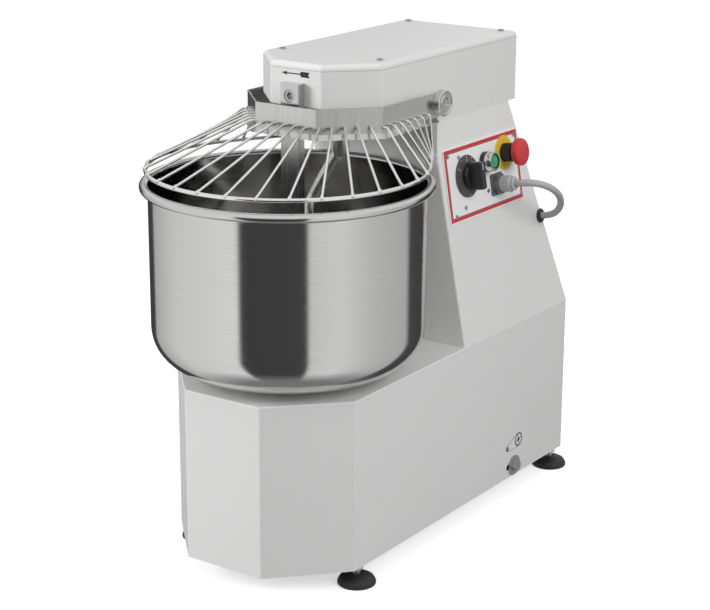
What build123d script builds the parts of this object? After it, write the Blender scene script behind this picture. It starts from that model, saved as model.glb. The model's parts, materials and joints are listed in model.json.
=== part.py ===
"""Commercial spiral dough mixer: fixed head, turning bowl, spiral hook, lifting wire guard.

Millimetres, +Z up, +X to the operator's right, -Y towards the operator. The origin is on the
floor, in the middle of the machine's footprint. Distances called "reach" run backwards, along +Y,
from the bowl's axis.
"""

from math import atan2, cos, hypot, pi, radians, sin, sqrt, tan
import os

from build123d import *

os.makedirs("parts", exist_ok=True)

# ---------------------------------------------------------------- driving dimensions

# clearances and sheet
sheet = 2.0               # casing sheet thickness
seat_gap = 0.02           # between a shaft and what is keyed to it
run_gap = 0.06            # radial clearance of a running fit
air_gap = 0.5             # between pieces that only pass each other
screw_gap = 0.15          # radial clearance of a screw's hole in a sheet
through = 1.0             # how far a cut runs past the face it leaves by

# bowl
bowl_body_r = 200.0
bowl_wall = 1.5
rim_bead_r = 6.0
bowl_height = 272.0       # underside to the top of the rolled rim
bowl_corner_r = 60.0
bowl_seat_r = 105.0
bowl_seat_height = 11.0
bowl_lift = 2.5           # seat plate above the deck

# base
foot_r = 28.5
foot_puck_height = 16.0
foot_gap = 32.4           # floor to the underside of the casing
foot_inset = 15.0         # foot stud to the casing's side or rear
front_foot_back = 27.4    # front feet behind the corner of the cut
base_height = 259.1
base_half_width = 161.0
base_front_half = 66.5
base_front_reach = -160.0
base_chamfer_reach = -62.0
rear_depth = 340.8        # bowl rim to the rear face of the base
edge_r = 3.5              # upright bends of the base and column
deck_edge_r = 1.5
floor_plate = 4.0

# column
column_gap = 7.7          # bowl rim to the front of the column's top
column_lean = 12.8        # how much further back the front is at the deck
column_height = 343.5
column_half_top = 105.0
column_top_depth = 221.3
column_flange = 15.0

# head
head_half_width = 105.5
head_front_half = 44.3
head_front_reach = 19.7
head_chamfer_reach = 82.5
head_rear_overhang = 21.4
head_step_reach = 198.0
nose_drop = 44.0          # nose underside above the column's top
head_side_height = 97.6   # column's top to the cover's seam
cover_height = 9.0
cover_edge_r = 7.5
head_corner_r = 5.0       # upright bends of the head and its cover
under_edge_r = 1.6        # bend round the nose's underside
seam_gap = 0.4

# upright axes
spiral_reach = 132.0
main_reach = 300.0
motor_reach = 415.0

# roller chain, half-inch pitch, and its sprockets
chain_pitch = 12.7
roller_r = 4.25
roller_width = 7.7
link_height = 11.0
link_thick = 1.6
disc_thick = 7.2
bowl_teeth = 70
pinion_teeth = 12
head_main_teeth = 24
spiral_teeth = 16
bowl_chain_z = 168.5
head_chain_drop = 13.0    # chain's middle below the cover's seam

# shafts
spiral_shaft_r = 12.5
main_shaft_r = 15.0
bowl_shaft_r = 20.0
motor_shaft_r = 12.0

# spiral hook
hook_r = 9.0
hook_wall_gap = 7.0
hook_floor_gap = 5.0
hook_turns = 0.95
hook_start = 209.0        # degrees from +X at which the hook leaves the shaft
hook_weld = 21.0          # hook's top above the shaft's lower end
hook_swing_share = 0.34   # share of the hook's height in which it swings out
hook_wind_from = 0.28     # share at which it starts to wind

# breaker bar
bar_width = 32.0
bar_thick = 15.0
bar_top_above_nose = 35.0
bar_floor_gap = 12.0

# guard
guard_plate = 2.0
guard_front_half = 53.0
guard_front_reach = -5.0
guard_half_width = 120.0
guard_chamfer_reach = 63.0
guard_plate_height = 36.0
guard_lip = 7.0
guard_plate_top = 5.0     # collar's top above the nose underside
pivot_reach = 213.0
pivot_drop = 11.0         # pivot below the nose underside
pivot_pin_r = 8.0
pivot_boss_r = 12.0
pivot_knob_r = 19.5
pivot_knob_length = 11.0
pivot_lug_r = 18.0
wire_r = 2.0
wire_pitch = 18.66        # between wires along the collar
wire_count = 14           # on each side of the middle wire
wire_row = 8.5            # wires above the collar's lower edge
wire_spread = 12.4        # degrees between wires on the ring
wire_close_pitch = 15.0   # between the last wires, next to the strap
wire_close_count = 3
ring_r = 202.0
ring_rod_r = 3.0
ring_lift = 18.0          # ring above the bowl's rim
ring_straight_from = 120.0
strap_width = 18.0
strap_thick = 2.5

# control panel, on the right-hand slope of the column
panel_reach = 341.0
panel_z = 535.0
panel_length = 218.0
panel_height = 113.5
panel_thick = 2.0
selector_reach = 291.0
selector_z = 543.0
dial_r = 32.3
dial_thick = 3.0
start_reach = 346.0
start_z = 555.0
estop_reach = 405.0
estop_z = 559.0
socket_reach = 372.0
socket_z = 516.0
switch_hole_r = 11.2
switch_thread_r = 10.9
lead_r = 5.5
grommet_reach = 497.0
grommet_z = 441.4
grommet_neck_r = 8.8
grommet_lip = 4.0
start_travel = 4.0
estop_travel = 5.0

# belt drive
main_pulley_r = 75.0
motor_pulley_r = 28.0
belt_width = 11.0
belt_height = 8.0
belt_count = 2
belt_pitch = 16.0
pulley_bottom = 84.0
motor_plate_z = 132.0
motor_plate_thick = 8.0
adjuster_reach = 391.0
adjuster_z = 50.0
adjuster_slot_length = 44.0
adjuster_slot_width = 11.0
adjuster_bolt_r = 5.0
adjuster_washer_r = 16.5
adjuster_washer = 2.5
adjuster_head_r = 9.8
adjuster_head = 6.5

# mains cable gland, low on the left-hand side
gland_from_rear = 24.0
gland_above_casing = 50.0
gland_thread_r = 8.0
gland_bore_r = 5.0
gland_nut_r = 13.0
gland_nut = 6.0
gland_cap_r = 10.0
gland_out = 18.0
gland_in = 12.0

# ---------------------------------------------------------------- derived dimensions

bowl_rim_r = bowl_body_r + 2 * rim_bead_r
rear_reach = bowl_rim_r + rear_depth
rearmost_reach = rear_reach - foot_inset + foot_r
bowl_y = (bowl_rim_r - rearmost_reach) / 2

base_top = foot_gap + base_height
seat_bottom = base_top + bowl_lift
bowl_bottom = seat_bottom + bowl_seat_height
bowl_rim_z = bowl_bottom + bowl_height
bowl_inner_floor = bowl_bottom + bowl_wall

column_top = base_top + column_height
column_front_top = bowl_rim_r + column_gap
column_front_low = column_front_top + column_lean
column_rear_top = column_front_top + column_top_depth
head_rear_reach = column_rear_top + head_rear_overhang
nose_bottom = column_top + nose_drop
seam_z = column_top + head_side_height
head_top = seam_z + seam_gap + cover_height
side_lean = atan2(base_half_width - column_half_top, column_height)
rear_lean = atan2(rear_reach - column_rear_top, column_height)
head_chain_z = seam_z - head_chain_drop

frame_plate_z = nose_bottom + sheet + 1.0
frame_plate_thick = 8.0
frame_top = frame_plate_z + frame_plate_thick
ring_z = bowl_rim_z + ring_lift
pivot_z = nose_bottom - pivot_drop
collar_top = nose_bottom + guard_plate_top
collar_bottom = collar_top - guard_plate_height
wire_z = collar_bottom + wire_row
collar_inner = guard_half_width - guard_plate
bar_back = head_front_reach
bar_front = bar_back - bar_thick
bar_top = nose_bottom + bar_top_above_nose
bar_screw_z = nose_bottom + bar_top_above_nose / 2


# ---------------------------------------------------------------- helpers

def at(reach):
    """Y of a point that lies a reach behind the bowl's axis."""
    return bowl_y + reach


def upright(reach, x=0.0):
    """Plane through an upright axis: local x along X, local y along Z."""
    return Plane(origin=(x, at(reach), 0), x_dir=(1, 0, 0), z_dir=(0, -1, 0))


def turned(profile, reach, x=0.0, mode=Mode.ADD):
    """Revolve a closed outline of (radius, height) points about an upright axis."""
    with BuildSketch(upright(reach, x)) as section:
        with BuildLine():
            Polyline(*profile, close=True)
        make_face()
    revolve(section.sketch, axis=Axis((x, at(reach), 0), (0, 0, 1)), mode=mode)


def tube(reach, inner_r, outer_r, low, high, x=0.0, mode=Mode.ADD):
    """Upright ring from one height to another."""
    turned([(inner_r, low), (outer_r, low), (outer_r, high), (inner_r, high)], reach, x, mode)


def plan_outline(front_half, front, half, chamfer, rear):
    """Plan points of a box whose two front corners are cut off."""
    return [(-front_half, at(front)), (front_half, at(front)), (half, at(chamfer)),
            (half, at(rear)), (-half, at(rear)), (-half, at(chamfer))]


def plan_face(points, z, inset=0.0, corner_r=0.0):
    """Flat face on a plan outline, moved inwards by an inset, corners rounded if asked."""
    with BuildSketch(Plane.XY.offset(z)) as face:
        with BuildLine():
            Polyline(*points, close=True)
        make_face()
        if inset:
            offset(amount=-inset, kind=Kind.INTERSECTION, mode=Mode.REPLACE)
        if corner_r:
            fillet(face.vertices(), corner_r)
    return face.sketch


def column_half(z):
    """Half the column's width at a height."""
    return base_half_width - (z - base_top) * tan(side_lean)


def column_front(z):
    """Reach of the column's front at a height."""
    return column_front_low - (z - base_top) * column_lean / column_height


def column_rear(z):
    """Reach of the column's rear at a height."""
    return rear_reach - (z - base_top) * tan(rear_lean)


def column_face(z, inset=0.0, corner_r=0.0):
    """Cross-section of the column at a height, moved inwards, its corners rounded if asked."""
    half = column_half(z) - inset
    front, rear = column_front(z) + inset, column_rear(z) - inset
    with BuildSketch(Plane.XY.offset(z)) as face:
        with Locations((0, at((front + rear) / 2))):
            Rectangle(2 * half, rear - front)
        if corner_r:
            fillet(face.vertices(), corner_r)
    return face.sketch


def side_plane(reach, z, lift=0.0):
    """Plane on the right-hand slope: local x towards the rear, local y up the slope."""
    normal = Vector(cos(side_lean), 0, sin(side_lean))
    foot = Vector(column_half(z), at(reach), z) + normal * lift
    return Plane(origin=foot, x_dir=(0, 1, 0), z_dir=normal)


def rear_plane(z, lift=0.0):
    """Plane on the column's sloping rear: local y up the slope."""
    normal = Vector(0, cos(rear_lean), sin(rear_lean))
    foot = Vector(0, at(column_rear(z)), z) + normal * lift
    return Plane(origin=foot, x_dir=(-1, 0, 0), z_dir=normal)


def disc(plane, radius, low, high, mode=Mode.ADD):
    """Round boss or hole on a plane, between two distances along its normal."""
    with BuildSketch(plane.offset(low)) as face:
        Circle(radius)
    extrude(face.sketch, amount=high - low, mode=mode)


def block(plane, length, height, low, high, corner_r=0.0, mode=Mode.ADD):
    """Rectangular block on a plane, between two distances along its normal."""
    with BuildSketch(plane.offset(low)) as face:
        if corner_r:
            RectangleRounded(length, height, corner_r)
        else:
            Rectangle(length, height)
    extrude(face.sketch, amount=high - low, mode=mode)


def button_screw(plane, shank_r, grip, head_rise=None):
    """Button-head screw: domed head with a hexagon recess, shank into the sheet below."""
    head_r, rise = 1.9 * shank_r, head_rise or 1.1 * shank_r
    disc(plane, head_r, 0, rise)
    disc(plane, shank_r, -grip, 0)
    with BuildSketch(plane.offset(rise)) as recess:
        RegularPolygon(0.75 * shank_r, 6)
    extrude(recess.sketch, amount=-0.6 * rise, mode=Mode.SUBTRACT)


def ball_bearing(reach, bore_r, outer_r, low, width):
    """Sealed ball bearing: one ring with a shallow groove where each seal sits."""
    land = (outer_r - bore_r) / 4
    groove = 0.8
    high = low + width
    turned([(bore_r, low), (bore_r + land, low), (bore_r + land, low + groove),
            (outer_r - land, low + groove), (outer_r - land, low), (outer_r, low),
            (outer_r, high), (outer_r - land, high), (outer_r - land, high - groove),
            (bore_r + land, high - groove), (bore_r + land, high), (bore_r, high)], reach)


def pitch_radius(teeth):
    """Pitch radius of a chain sprocket."""
    return chain_pitch / (2 * sin(pi / teeth))


def sprocket(reach, teeth, middle_z, bore_r, hub_r, hub_low, hub_high):
    """Toothed disc with a hub; each tooth is a tapered block between two roller seats."""
    pitch_r = pitch_radius(teeth)
    root_r, tip_r = pitch_r - roller_r, pitch_r + 0.6 * roller_r
    step = 2 * pi / teeth
    shares = ((root_r, -0.30), (root_r, 0.30), (tip_r, 0.42), (tip_r, 0.58))
    rim = [(r * cos((i + s) * step), at(reach) + r * sin((i + s) * step))
           for i in range(teeth) for r, s in shares]
    with BuildSketch(Plane.XY.offset(middle_z - disc_thick / 2)) as face:
        with BuildLine():
            Polyline(*rim, close=True)
        make_face()
    extrude(face.sketch, amount=disc_thick)
    tube(reach, 0, hub_r, hub_low, hub_high)
    tube(reach, 0, bore_r, hub_low - 1, hub_high + 1, mode=Mode.SUBTRACT)


def loop_face(z, reach_a, r_a, reach_b, r_b, half_band):
    """Flat band of a belt or chain run tight round two circles."""
    hulls = []
    for grow in (half_band, -half_band):
        with BuildSketch(Plane.XY.offset(z)) as hull:
            with Locations((0, at(reach_a))):
                Circle(r_a + grow)
            with Locations((0, at(reach_b))):
                Circle(r_b + grow)
            make_hull()
        hulls.append(hull.sketch)
    return hulls[0] - hulls[1]


def roller_chain(reach_a, teeth_a, reach_b, teeth_b, middle_z):
    """Closed chain: a band of link plates each side of the discs, rollers on the free runs."""
    r_a, r_b = pitch_radius(teeth_a), pitch_radius(teeth_b)
    for low in (middle_z - roller_width / 2 - link_thick, middle_z + roller_width / 2):
        extrude(loop_face(low, reach_a, r_a, reach_b, r_b, link_height / 2), amount=link_thick)
    span = reach_b - reach_a
    share = (r_a - r_b) / span
    across = sqrt(1 - share * share)
    run = span * across

    def clear_of(pitch_r):
        """Distance along the run in which a tooth could still meet a roller."""
        tip, near = pitch_r + 0.6 * roller_r, pitch_r - roller_r
        return sqrt(tip * tip - near * near) + roller_r + 1

    first, last = clear_of(r_a), run - clear_of(r_b)
    count = int((last - first) // chain_pitch) + 1
    spots = [first + i * chain_pitch for i in range(count)]
    places = [(side * (r_a * across - share * s), at(reach_a) + r_a * share + across * s)
              for s in spots for side in (-1, 1)]
    with BuildSketch(Plane.XY.offset(middle_z - roller_width / 2)) as rollers:
        with Locations(*places):
            Circle(roller_r)
    extrude(rollers.sketch, amount=roller_width)


def longest_arcs(points, share=0.45):
    """Largest tangent arc for each corner of a route: a share of the shorter run beside it."""
    arcs = []
    for before, here, after in zip(points, points[1:], points[2:]):
        run_in, run_out = Vector(*here) - Vector(*before), Vector(*after) - Vector(*here)
        turn = radians(run_in.get_angle(run_out))
        arcs.append(share * min(run_in.length, run_out.length) / tan(turn / 2))
    return arcs


def finish(builder, name):
    """Label a finished piece and write its file."""
    builder.part.label = name
    export_step(builder.part, f"parts/{name}.step")


base_plan = plan_outline(base_front_half, base_front_reach, base_half_width,
                         base_chamfer_reach, rear_reach)
head_plan = plan_outline(head_front_half, head_front_reach, head_half_width,
                         head_chamfer_reach, head_rear_reach)
foot_spots = [(side * (base_half_width - foot_inset), at(reach)) for side in (-1, 1)
              for reach in (base_chamfer_reach + front_foot_back, rear_reach - foot_inset)]

# ---------------------------------------------------------------- feet

stud_r = 6.0
stud_depth = 6.0          # stud sunk in the foot
stud_hole_gap = 0.4
nut_r = 11.0
nut_height = 8.0
stud_rise = 4.0           # stud above its upper nut
straight_share = 0.55     # share of a foot's height below its taper
foot_taper = 38.0
with BuildPart() as rubber_feet:
    with BuildSketch(Plane.XY) as soles:
        with Locations(*foot_spots):
            Circle(foot_r)
    extrude(amount=foot_puck_height * straight_share)
    with BuildSketch(Plane.XY.offset(foot_puck_height * straight_share)) as necks:
        with Locations(*foot_spots):
            Circle(foot_r)
    extrude(amount=foot_puck_height * (1 - straight_share), taper=foot_taper)
    with BuildSketch(Plane.XY.offset(foot_puck_height - stud_depth)) as sockets:
        with Locations(*foot_spots):
            Circle(stud_r)
    extrude(amount=stud_depth + through, mode=Mode.SUBTRACT)
finish(rubber_feet, "rubber_feet")

with BuildPart() as foot_studs:
    stud_low = foot_puck_height - stud_depth
    with BuildSketch(Plane.XY.offset(stud_low)) as rods:
        with Locations(*foot_spots):
            Circle(stud_r - seat_gap)
    extrude(amount=foot_gap + floor_plate + nut_height + stud_rise - stud_low)
    for level in (foot_gap - nut_height, foot_gap + floor_plate):
        with BuildSketch(Plane.XY.offset(level)) as nuts:
            with Locations(*foot_spots):
                RegularPolygon(nut_r, 6)
        extrude(amount=nut_height)
finish(foot_studs, "foot_studs")

# ---------------------------------------------------------------- body casing

window_half = column_half_top - column_flange
window_front = column_front_top + column_flange
window_rear = column_rear_top - column_flange
cover_margin = 14.0       # rear covers in from the casing's edges
cover_lap = 12.0          # rear covers over the rims of their windows
cover_corner_r = 5.0
window_corner_r = 6.0
cover_screw_inset = 7.0
lower_cover_low = foot_gap + cover_margin
lower_cover_high = base_top - cover_margin
cover_half = base_half_width - cover_margin
upper_cover_low = base_top + 16.0
upper_cover_high = column_top - 24.0
casing_floor = 3.0        # sheet across the column's top
bowl_hole_r = 50.0
switch_planes = [side_plane(reach, z) for reach, z in (
    (selector_reach, selector_z), (start_reach, start_z), (estop_reach, estop_z),
    (socket_reach, socket_z))]


def upper_cover_points(inset):
    """Outline of the column's rear cover in the sloping plane that starts at its lower edge."""
    rise = (upper_cover_high - upper_cover_low) / cos(rear_lean)
    low_half = column_half(upper_cover_low) - cover_margin - inset
    high_half = column_half(upper_cover_high) - cover_margin - inset
    return [(-low_half, inset), (low_half, inset), (high_half, rise - inset),
            (-high_half, rise - inset)]


cover_sheet = 1.5
cover_screw_r = 2.4
lower_window = Plane(origin=(0, at(rear_reach), (lower_cover_low + lower_cover_high) / 2),
                     x_dir=(-1, 0, 0), z_dir=(0, 1, 0))
upper_slope = rear_plane(upper_cover_low, cover_sheet)
rear_screw_spots = [Plane(origin=(side * (cover_half - cover_screw_inset), at(rear_reach) + cover_sheet, z),
                          x_dir=(-1, 0, 0), z_dir=(0, 1, 0))
                    for side in (-1, 1) for z in (lower_cover_low + cover_screw_inset,
                                                  lower_cover_high - cover_screw_inset)]
rear_screw_spots += [Plane(origin=upper_slope.from_local_coords(Vector(x, y, 0)),
                           x_dir=upper_slope.x_dir, z_dir=upper_slope.z_dir)
                     for x, y in upper_cover_points(cover_screw_inset)]
panel_screw_r = 1.6
panel_screws = [(243.0, 580.0), (437.6, 581.5), (443.0, 488.7), (250.0, 488.7),
                (273.0, 574.0), (346.4, 510.0), (414.6, 497.8), (277.5, 497.0)]
panel_plane = side_plane(panel_reach, panel_z)
panel_screw_places = [(reach - panel_reach, (z - panel_z) / cos(side_lean))
                      for reach, z in panel_screws]
panel_screw_spots = [side_plane(reach, z, panel_thick) for reach, z in panel_screws]

with BuildPart() as body_casing:
    extrude(plan_face(base_plan, foot_gap, corner_r=edge_r), amount=base_height)
    deck_edges = (body_casing.faces().sort_by(Axis.Z)[-1].edges()
                  .filter_by(lambda e: e.center().Y < at(rear_reach) - 50))
    fillet(deck_edges, deck_edge_r)
    loft([column_face(base_top - deck_edge_r, corner_r=edge_r).face(),
          column_face(column_top, corner_r=edge_r).face()], ruled=True)
    extrude(plan_face(base_plan, foot_gap, sheet), amount=base_height - sheet, mode=Mode.SUBTRACT)
    flange_under = column_top - casing_floor
    loft([column_face(base_top - sheet, sheet * 1.02).face(),
          column_face(flange_under, sheet * 1.02).face()], ruled=True, mode=Mode.SUBTRACT)
    with BuildSketch(Plane.XY.offset(flange_under)) as top_window:
        with Locations((0, at((window_front + window_rear) / 2))):
            Rectangle(2 * window_half, window_rear - window_front)
    extrude(amount=casing_floor + through, mode=Mode.SUBTRACT)
    tube(0, 0, bowl_hole_r, base_top - 2 * sheet, base_top + through, mode=Mode.SUBTRACT)
    block(lower_window, 2 * (cover_half - cover_lap),
          lower_cover_high - lower_cover_low - 2 * cover_lap, -3 * sheet, sheet,
          window_corner_r, Mode.SUBTRACT)
    with BuildSketch(rear_plane(upper_cover_low, -2 * sheet)) as upper_window:
        with BuildLine():
            Polyline(*upper_cover_points(cover_lap), close=True)
        make_face()
    extrude(amount=4 * sheet, mode=Mode.SUBTRACT)
    for plane in switch_planes:
        disc(plane, switch_hole_r, -3 * sheet, sheet, Mode.SUBTRACT)
    disc(side_plane(grommet_reach, grommet_z), grommet_neck_r + 0.2, -3 * sheet, sheet, Mode.SUBTRACT)
    adjuster_plane = Plane(origin=(base_half_width, at(adjuster_reach), adjuster_z),
                           x_dir=(0, 1, 0), z_dir=(1, 0, 0))
    with BuildSketch(adjuster_plane.offset(-2 * sheet)) as adjuster_slot:
        SlotOverall(adjuster_slot_length, adjuster_slot_width)
    extrude(amount=3 * sheet, mode=Mode.SUBTRACT)
    for spot in rear_screw_spots:
        disc(spot, cover_screw_r + screw_gap, -cover_sheet - 3 * sheet, through, Mode.SUBTRACT)
    with BuildSketch(panel_plane.offset(-3 * sheet)) as panel_screw_holes:
        with Locations(*panel_screw_places):
            Circle(panel_screw_r + screw_gap)
    extrude(amount=4 * sheet, mode=Mode.SUBTRACT)
    gland_plane = Plane(origin=(-base_half_width, at(rear_reach - gland_from_rear),
                                foot_gap + gland_above_casing),
                        x_dir=(0, -1, 0), z_dir=(-1, 0, 0))
    disc(gland_plane, gland_thread_r + 0.2, -2 * sheet, sheet, Mode.SUBTRACT)
finish(body_casing, "body_casing")

with BuildPart() as bottom_plate:
    extrude(plan_face(base_plan, foot_gap, sheet + air_gap), amount=floor_plate)
    with BuildSketch(Plane.XY.offset(foot_gap)) as stud_holes:
        with Locations(*foot_spots):
            Circle(stud_r + stud_hole_gap)
    extrude(amount=floor_plate, mode=Mode.SUBTRACT)
finish(bottom_plate, "bottom_plate")

louvre_rows = 6
louvre_pitch = 16.0
with BuildPart() as rear_covers:
    block(lower_window, 2 * cover_half, lower_cover_high - lower_cover_low, 0, cover_sheet, 5)
    with BuildSketch(rear_plane(upper_cover_low)) as upper_sheet:
        with BuildLine():
            Polyline(*upper_cover_points(0), close=True)
        make_face()
        fillet(upper_sheet.vertices(), 5)
    extrude(amount=cover_sheet)
    with BuildSketch(lower_window.offset(-1)) as louvres:
        with GridLocations(110, louvre_pitch, 2, louvre_rows):
            SlotOverall(80, 5)
    extrude(amount=cover_sheet + 2, mode=Mode.SUBTRACT)
    for spot in rear_screw_spots:
        disc(spot, cover_screw_r + screw_gap, -cover_sheet - through, through, Mode.SUBTRACT)
finish(rear_covers, "rear_covers")

# ---------------------------------------------------------------- head

bar_block_depth = 20.0
spiral_tube_r = 33.0
main_tube_r = 38.0
cover_screw_half = 86.0
cover_screw_reaches = (head_front_reach + 85.3, head_rear_reach - 19.4)
front_plane = Plane(origin=(0, at(bar_front), bar_screw_z), x_dir=(1, 0, 0), z_dir=(0, -1, 0))
bar_shank_r = 6.0
bar_head_r = 9.0
head_wall_plane = Plane(origin=(0, at(pivot_reach), pivot_z), x_dir=(0, 1, 0), z_dir=(1, 0, 0))


def rear_box_face(z, inset):
    """Plan of the head's deeper rear box, behind the step."""
    front, rear = head_step_reach + inset, head_rear_reach - inset
    with BuildSketch(Plane.XY.offset(z)) as face:
        with Locations((0, at((front + rear) / 2))):
            Rectangle(2 * (head_half_width - inset), rear - front)
    return face.sketch


with BuildPart() as head_casing:
    extrude(plan_face(head_plan, nose_bottom, corner_r=head_corner_r),
            amount=seam_z - nose_bottom)
    with BuildSketch(Plane.XY.offset(column_top)) as rear_box:
        with Locations((0, at((head_step_reach + head_rear_reach) / 2))):
            Rectangle(2 * head_half_width, head_rear_reach - head_step_reach)
        fillet(rear_box.vertices().sort_by(Axis.Y)[-2:], head_corner_r)
    extrude(amount=nose_bottom - column_top)
    nose_underside = head_casing.faces().filter_by(Axis.Z).sort_by(
        lambda f: abs(f.center().Z - nose_bottom))[0]
    fillet(nose_underside.edges().filter_by(lambda e: e.center().Y < at(head_step_reach) - 1),
           under_edge_r)
    extrude(plan_face(head_plan, frame_plate_z, sheet), amount=seam_z, mode=Mode.SUBTRACT)
    extrude(rear_box_face(column_top + 3, sheet), amount=nose_bottom + 5 - column_top,
            mode=Mode.SUBTRACT)
    with BuildSketch(Plane.XY.offset(column_top)) as head_window:
        with Locations((0, at((window_front + window_rear) / 2))):
            Rectangle(2 * window_half, window_rear - window_front)
    extrude(amount=4, mode=Mode.SUBTRACT)
    tube(spiral_reach, 0, spiral_tube_r + air_gap, nose_bottom - 5, frame_plate_z + 1,
         mode=Mode.SUBTRACT)
    for side in (-1, 1):
        for reach in cover_screw_reaches:
            tab = Plane(origin=(side * cover_screw_half, at(reach), seam_z))
            block(tab, 2 * (head_half_width - sheet - cover_screw_half) + 0.2, 18, -3, 0)
            disc(tab, 2.5, -4, 1, Mode.SUBTRACT)
    block(Plane(origin=(0, at(head_front_reach + sheet / 2 + bar_block_depth / 2),
                        (nose_bottom + bar_top) / 2)),
          bar_width + 10, bar_block_depth + sheet, -(bar_top_above_nose - 8) / 2,
          (bar_top_above_nose - 8) / 2)
    disc(front_plane, bar_shank_r + 0.1, -bar_thick - bar_block_depth - 2 * sheet, 1,
         Mode.SUBTRACT)
    disc(head_wall_plane, pivot_pin_r + run_gap, -head_half_width - 1, head_half_width + 1,
         Mode.SUBTRACT)
finish(head_casing, "head_casing")

with BuildPart() as head_cover:
    cover_bottom = seam_z + seam_gap
    extrude(plan_face(head_plan, cover_bottom, corner_r=head_corner_r), amount=cover_height)
    fillet(head_cover.faces().sort_by(Axis.Z)[-1].edges(), cover_edge_r)
    extrude(plan_face(head_plan, cover_bottom, 5.0), amount=cover_height - sheet,
            mode=Mode.SUBTRACT)
    for side in (-1, 1):
        for reach in cover_screw_reaches:
            spot = Plane(origin=(side * cover_screw_half, at(reach), head_top))
            disc(spot, 6, -cover_height, -sheet / 2)
            disc(spot, 2.6, -cover_height - 1, 1, Mode.SUBTRACT)
finish(head_cover, "head_cover")

with BuildPart() as casing_screws:
    for side in (-1, 1):
        for reach in cover_screw_reaches:
            button_screw(Plane(origin=(side * cover_screw_half, at(reach), head_top)),
                         cover_screw_r, cover_height + 4)
    for spot in rear_screw_spots:
        button_screw(spot, cover_screw_r, cover_sheet + sheet)
    for spot in panel_screw_spots:
        button_screw(spot, panel_screw_r, panel_thick + sheet, 1.4)
finish(casing_screws, "casing_screws")

with BuildPart() as head_frame_plate:
    plate_front = head_front_reach + sheet + bar_block_depth + 1
    plate_inner = head_half_width - sheet - air_gap
    chamfer_rise = head_chamfer_reach - head_front_reach
    chamfer_run = head_half_width - head_front_half
    notch = plate_front - head_front_reach
    front_half = head_front_half + notch * chamfer_run / chamfer_rise - 2 * sheet
    extrude(plan_face(plan_outline(front_half, plate_front, plate_inner,
                                   head_chamfer_reach + sheet, head_rear_reach - sheet - 1),
                      frame_plate_z), amount=frame_plate_thick)
    tube(spiral_reach, 0, spiral_tube_r + air_gap, frame_plate_z - 1, frame_top + 1,
         mode=Mode.SUBTRACT)
    tube(main_reach, 0, main_tube_r - 8, frame_plate_z - 1, frame_top + 1, mode=Mode.SUBTRACT)
finish(head_frame_plate, "head_frame_plate")

# ---------------------------------------------------------------- spiral drive

spiral_bearing_r = 26.0
spiral_bearing_width = 15.0
spiral_shaft_bottom = bowl_rim_z + 2
spiral_tube_bottom = nose_bottom - 31
spiral_tube_top = head_chain_z - 8

with BuildPart() as spiral_bearing_housing:
    tube(spiral_reach, spiral_bearing_r - 4, spiral_tube_r, spiral_tube_bottom, spiral_tube_top)
    tube(spiral_reach, spiral_bearing_r - 4, spiral_tube_r + 22, frame_top, frame_top + 9)
    for low in (spiral_tube_bottom, spiral_tube_top - spiral_bearing_width - 1):
        tube(spiral_reach, 0, spiral_bearing_r, low, low + spiral_bearing_width + 1,
             mode=Mode.SUBTRACT)
    with BuildSketch(Plane.XY.offset(frame_top + 3)) as flange_bolts:
        with Locations((0, at(spiral_reach))):
            with PolarLocations(spiral_tube_r + 12, 4, 45):
                Circle(4.5)
    extrude(amount=6, mode=Mode.SUBTRACT)
finish(spiral_bearing_housing, "spiral_bearing_housing")

with BuildPart() as spiral_shaft:
    shaft_end = spiral_shaft_bottom
    turned([(0, shaft_end), (spiral_shaft_r - 3, shaft_end), (spiral_shaft_r, shaft_end + 3),
            (spiral_shaft_r, head_chain_z + 10), (0, head_chain_z + 10)], spiral_reach)
finish(spiral_shaft, "spiral_shaft")


def hook_point(turn_share):
    """Point of the hook's middle line: it swings out from the shaft, then winds down the bowl."""
    top = spiral_shaft_bottom + hook_weld
    bottom = bowl_inner_floor + hook_floor_gap + hook_r
    z = top + (bottom - top) * turn_share
    widest = bowl_body_r - bowl_wall - hook_wall_gap - spiral_reach - hook_r
    swing = min(1.0, turn_share / hook_swing_share)
    radius = widest * (1 - (1 - swing) ** 1.15)
    corner_centre = bowl_inner_floor + bowl_corner_r - bowl_wall
    if z < corner_centre:
        reach_in = bowl_corner_r - bowl_wall - hook_r - hook_floor_gap
        drop = min(corner_centre - z, reach_in)
        edge = bowl_body_r - bowl_corner_r + sqrt(reach_in ** 2 - drop ** 2) - spiral_reach
        radius = min(radius, edge)
    late = max(0.0, turn_share - hook_wind_from) / (1 - hook_wind_from)
    angle = radians(hook_start) + 2 * pi * hook_turns * (0.03 * turn_share + 0.97 * late ** 1.25)
    return (radius * cos(angle), at(spiral_reach) + radius * sin(angle), z)


hook_steps = 16
hook_route = [hook_point(i / hook_steps) for i in range(hook_steps + 1)]
hook_arcs = longest_arcs(hook_route, 0.42)
with BuildPart() as spiral_hook:
    with BuildLine() as hook_line:
        FilletPolyline(*hook_route, radius=hook_arcs)
    with BuildSketch(Plane(origin=hook_line.line @ 0, z_dir=hook_line.line % 0)):
        Circle(hook_r)
    sweep()
finish(spiral_hook, "spiral_hook")

with BuildPart() as spiral_sprocket:
    sprocket(spiral_reach, spiral_teeth, head_chain_z, spiral_shaft_r + seat_gap, 20,
             head_chain_z - 7, head_chain_z + 6)
finish(spiral_sprocket, "spiral_sprocket")

with BuildPart() as head_chain:
    roller_chain(spiral_reach, spiral_teeth, main_reach, head_main_teeth, head_chain_z)
finish(head_chain, "head_chain")

# ---------------------------------------------------------------- main shaft

main_bearing_r = 31.0
main_bearing_width = 16.0
beam_z = 215.0
beam_thick = 8.0
beam_depth = 90.0
main_shaft_bottom = pulley_bottom - 8

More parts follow.
